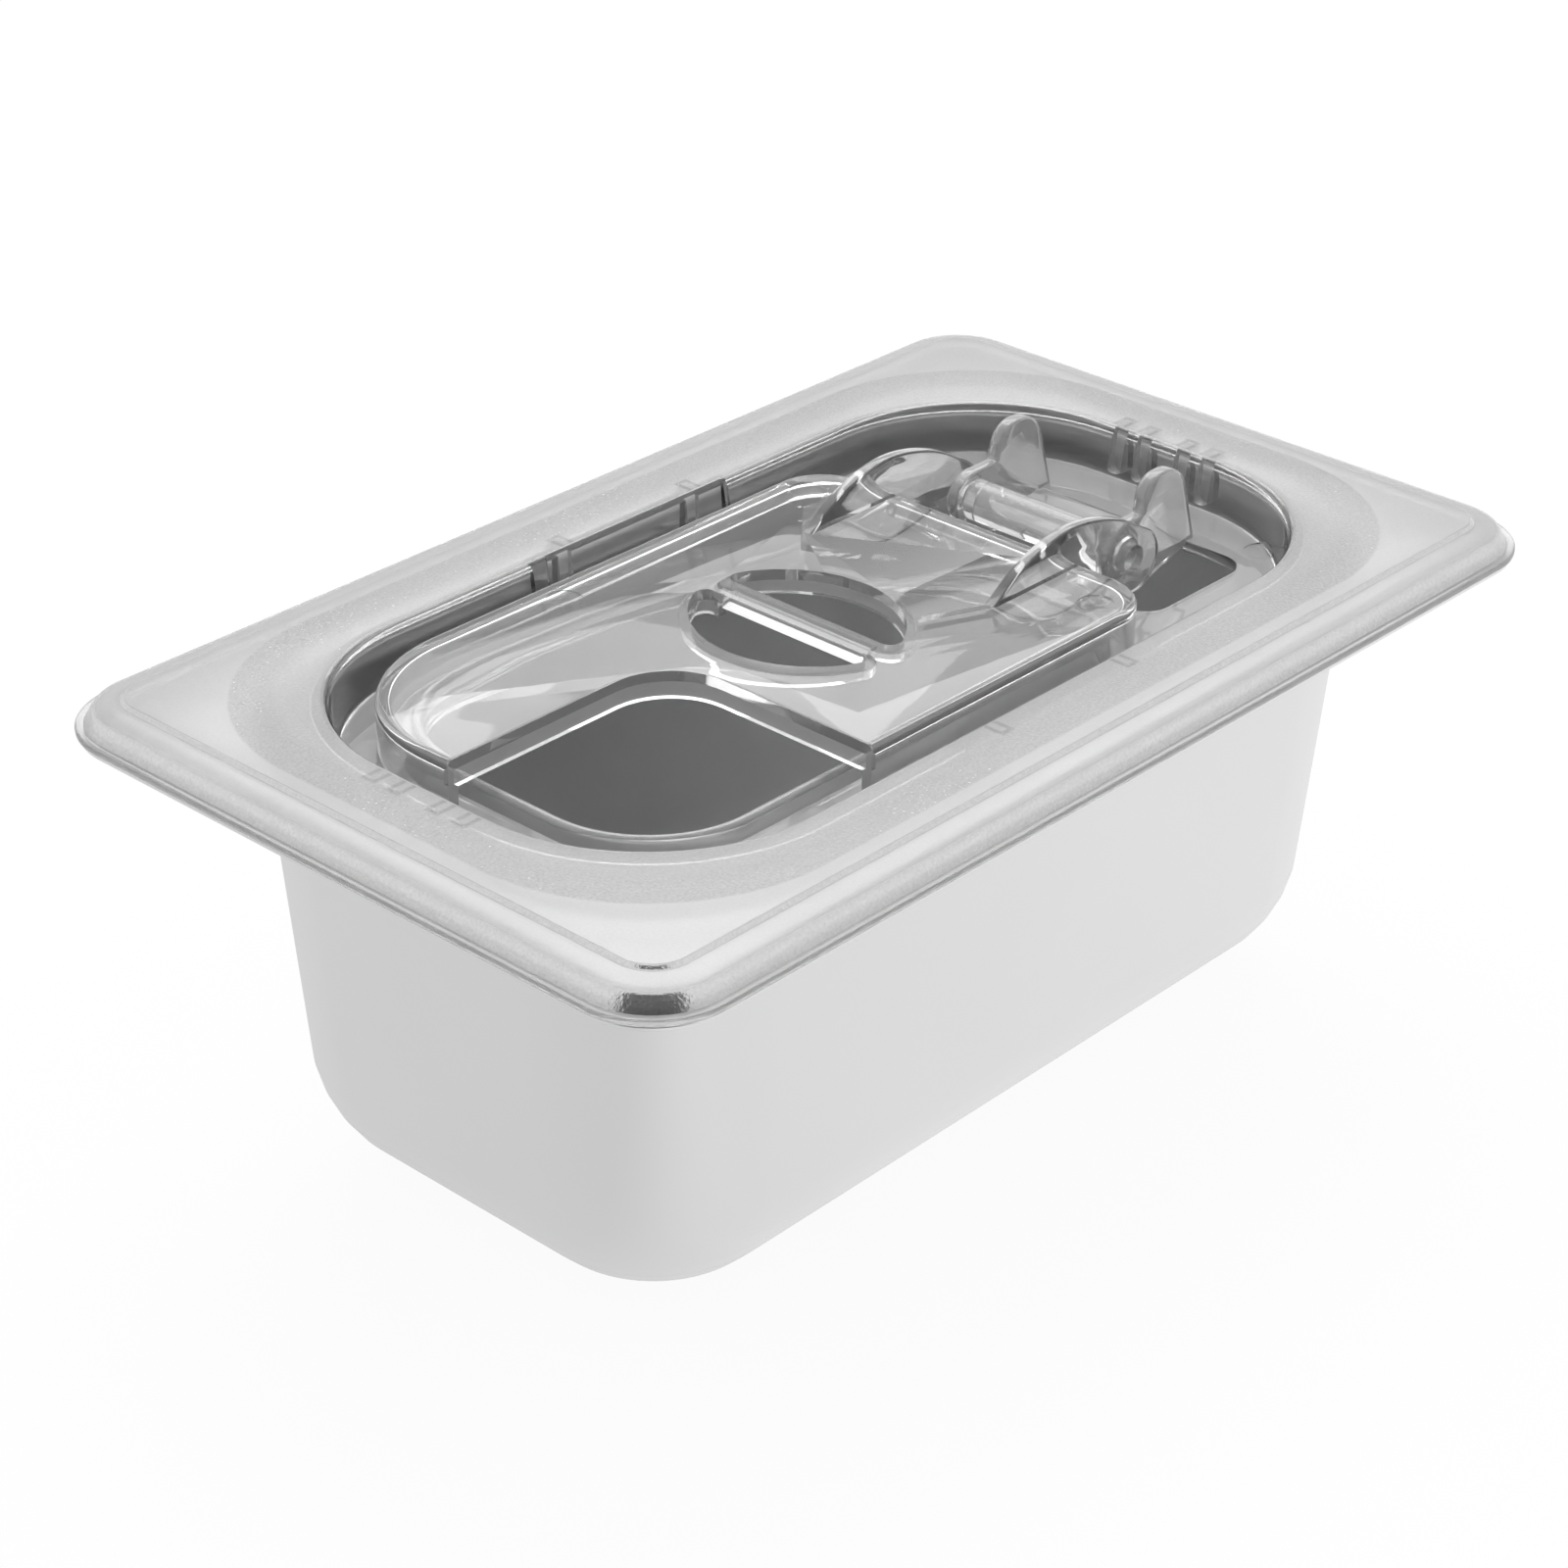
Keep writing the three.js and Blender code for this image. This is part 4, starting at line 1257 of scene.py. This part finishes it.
def set_world(scene, studio):
    """White to the eye and in reflections, softer as a light."""
    scene.world = bpy.data.worlds.new("studio")
    scene.world.use_nodes = True
    paint = Paint(scene.world.node_tree)
    light, shown = (
        paint.node("Background", {"Color": WHITE, "Strength": strength})
        for strength in (studio.fill, 1.0)
    )
    paint.done(paint.mix(seen_directly(paint), light, shown), "OutputWorld")


def room_side(studio, turn):
    """A direction in plan, turned from the one towards the room's dark side."""
    bearing = studio.dark_side + turn
    return Vector((math.cos(bearing), math.sin(bearing), 0))


def set_floor(studio):
    """A wide white floor that keeps the shadow; one side of it carries painted shade in
    reflections.
    """
    bm = bmesh.new()
    bmesh.ops.create_grid(bm, x_segments=1, y_segments=1, size=FLOOR_REACH)
    material, paint = new_paint("white_floor")
    matt = paint.node("BsdfDiffuse", {"Color": (*studio.floor, 1)})
    white = paint.node("Emission", {"Color": WHITE, "Strength": 1.0})
    dark = paint.node("Emission", {"Color": BLACK, "Strength": 0.0})
    shown = paint.mix(studio.floor_light * seen_directly(paint), matt, white)
    # Painted shade on one side of the floor, for glossy rays only.
    across = paint.dot(paint.place(), room_side(studio, math.pi / 2))
    mirrored = paint.node("LightPath", out="Is Glossy Ray")
    painted_shade = studio.floor_mirror_shade * mirrored * paint.ramp(across, MIRROR_SHADE_START, MIRROR_SHADE_END)
    paint.done(paint.mix(painted_shade, shown, dark))
    new_object("floor", new_mesh("floor", bm), material)


def set_card(studio):
    """The dark side of the photographer's room, which only reflections show."""
    bm = bmesh.new()
    start = room_side(studio, -CARD_REACH) * CARD_RADIUS
    upright = [bm.verts.new((start.x, start.y, z)) for z in CARD_EDGES]
    bmesh.ops.spin(
        bm, geom=[*upright, bm.edges.new(upright)], cent=(0, 0, 0), axis=(0, 0, 1),
        dvec=(0, 0, 0), angle=2 * CARD_REACH, steps=CARD_FACETS,
    )
    material, paint = new_paint("dark_card")
    paint.done(paint.node("BsdfDiffuse", {"Color": CARD_COLOUR}))
    card = new_object("dark_card", new_mesh("dark_card", bm), material)
    card.visible_camera = card.visible_diffuse = False
    card.visible_transmission = card.visible_shadow = False


def set_lamp(name, power, place, size, mirrored=True):
    """A wide soft lamp aimed at the pan; reflections may leave it out."""
    data = bpy.data.lights.new(name, "AREA")
    data.shape = "RECTANGLE"
    data.energy, (data.size, data.size_y) = power, size
    lamp = in_scene(bpy.data.objects.new(name, data))
    lamp.location = place
    lamp.visible_camera, lamp.visible_glossy = False, mirrored
    lamp.rotation_euler = Vector(place).to_track_quat("Z", "Y").to_euler()


class PanOperator(bpy.types.Operator):
    """Drawn steel pan"""

    bl_idname = "food_pan.make_pan"
    bl_label = "Make the steel pan"

    def execute(self, context):
        piece = make_pan(Plan(context.scene), steel_material(context.scene.pan_finish))
        finish_piece(piece, "pan", "pan")
        return {"FINISHED"}


class LidOperator(bpy.types.Operator):
    """Lid base with frosted flange, clear well and hinge ears"""

    bl_idname = "food_pan.make_lid"
    bl_label = "Make the lid base"

    def execute(self, context):
        plan, finish = Plan(context.scene), context.scene.pan_finish
        floor, clear, wall = finish.floor_pass, finish.clear_pass, finish.wall_pass
        piece = make_lid(
            plan,
            clear_material("clear_base", finish, floor, clear, finish.wall_shade),
            frosted_material(plan, finish),
            clear_material("clear_hinge", finish, floor, wall, 0),
        )
        finish_piece(piece, "lid", "lid_base")
        return {"FINISHED"}


class FlapOperator(bpy.types.Operator):
    """Hinged flap with notch, finger openings and arms"""

    bl_idname = "food_pan.make_flap"
    bl_label = "Make the flap"

    def execute(self, context):
        finish = context.scene.pan_finish
        piece = make_flap(
            Plan(context.scene),
            clear_material("clear_flap", finish, finish.clear_pass, finish.skirt_pass, 0),
            clear_material("clear_arms", finish, finish.skirt_pass, finish.clear_pass, 0),
        )
        finish_piece(piece, "flap", "lid_flap")
        return {"FINISHED"}


class StageOperator(bpy.types.Operator):
    """Camera, lights and white floor"""

    bl_idname = "food_pan.set_stage"
    bl_label = "Set the stage"

    def execute(self, context):
        scene = context.scene
        studio = scene.pan_studio
        scene.view_settings.view_transform = "Standard"
        set_camera(scene, studio)
        set_world(scene, studio)
        set_floor(studio)
        set_lamp("overhead", studio.overhead, OVERHEAD_PLACE, OVERHEAD_SIZE)
        set_lamp("back", studio.back, BACK_PLACE, BACK_SIZE, mirrored=False)
        set_card(studio)
        return {"FINISHED"}


class FoodPanPanel(bpy.types.Panel):
    """Lists the steps that dress the food pan"""

    bl_idname = "VIEW3D_PT_food_pan"
    bl_label = "Food pan"
    bl_space_type = "VIEW_3D"
    bl_region_type = "UI"
    bl_category = "Food pan"

    def draw(self, context):
        for operator in OPERATORS:
            self.layout.operator(operator.bl_idname)
        for name, group in GROUPS.items():
            box = self.layout.box()
            box.label(text=group.__doc__)
            for prop in group.__annotations__:
                box.prop(getattr(context.scene, name), prop)


OPERATORS = (PanOperator, LidOperator, FlapOperator, StageOperator)


def register():
    """Adds the settings, operators and panel."""
    for entry in (*GROUPS.values(), *OPERATORS, FoodPanPanel):
        bpy.utils.register_class(entry)
    for name, group in GROUPS.items():
        setattr(bpy.types.Scene, name, PointerProperty(type=group))


def unregister():
    """Takes them away again."""
    for name in GROUPS:
        delattr(bpy.types.Scene, name)
    for entry in reversed((*GROUPS.values(), *OPERATORS, FoodPanPanel)):
        bpy.utils.unregister_class(entry)


def main():
    """Makes every piece and the stage."""
    register()
    bpy.ops.food_pan.set_stage()
    bpy.ops.food_pan.make_pan()
    bpy.ops.food_pan.make_lid()
    bpy.ops.food_pan.make_flap()
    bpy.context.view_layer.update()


if __name__ == "__main__":
    main()
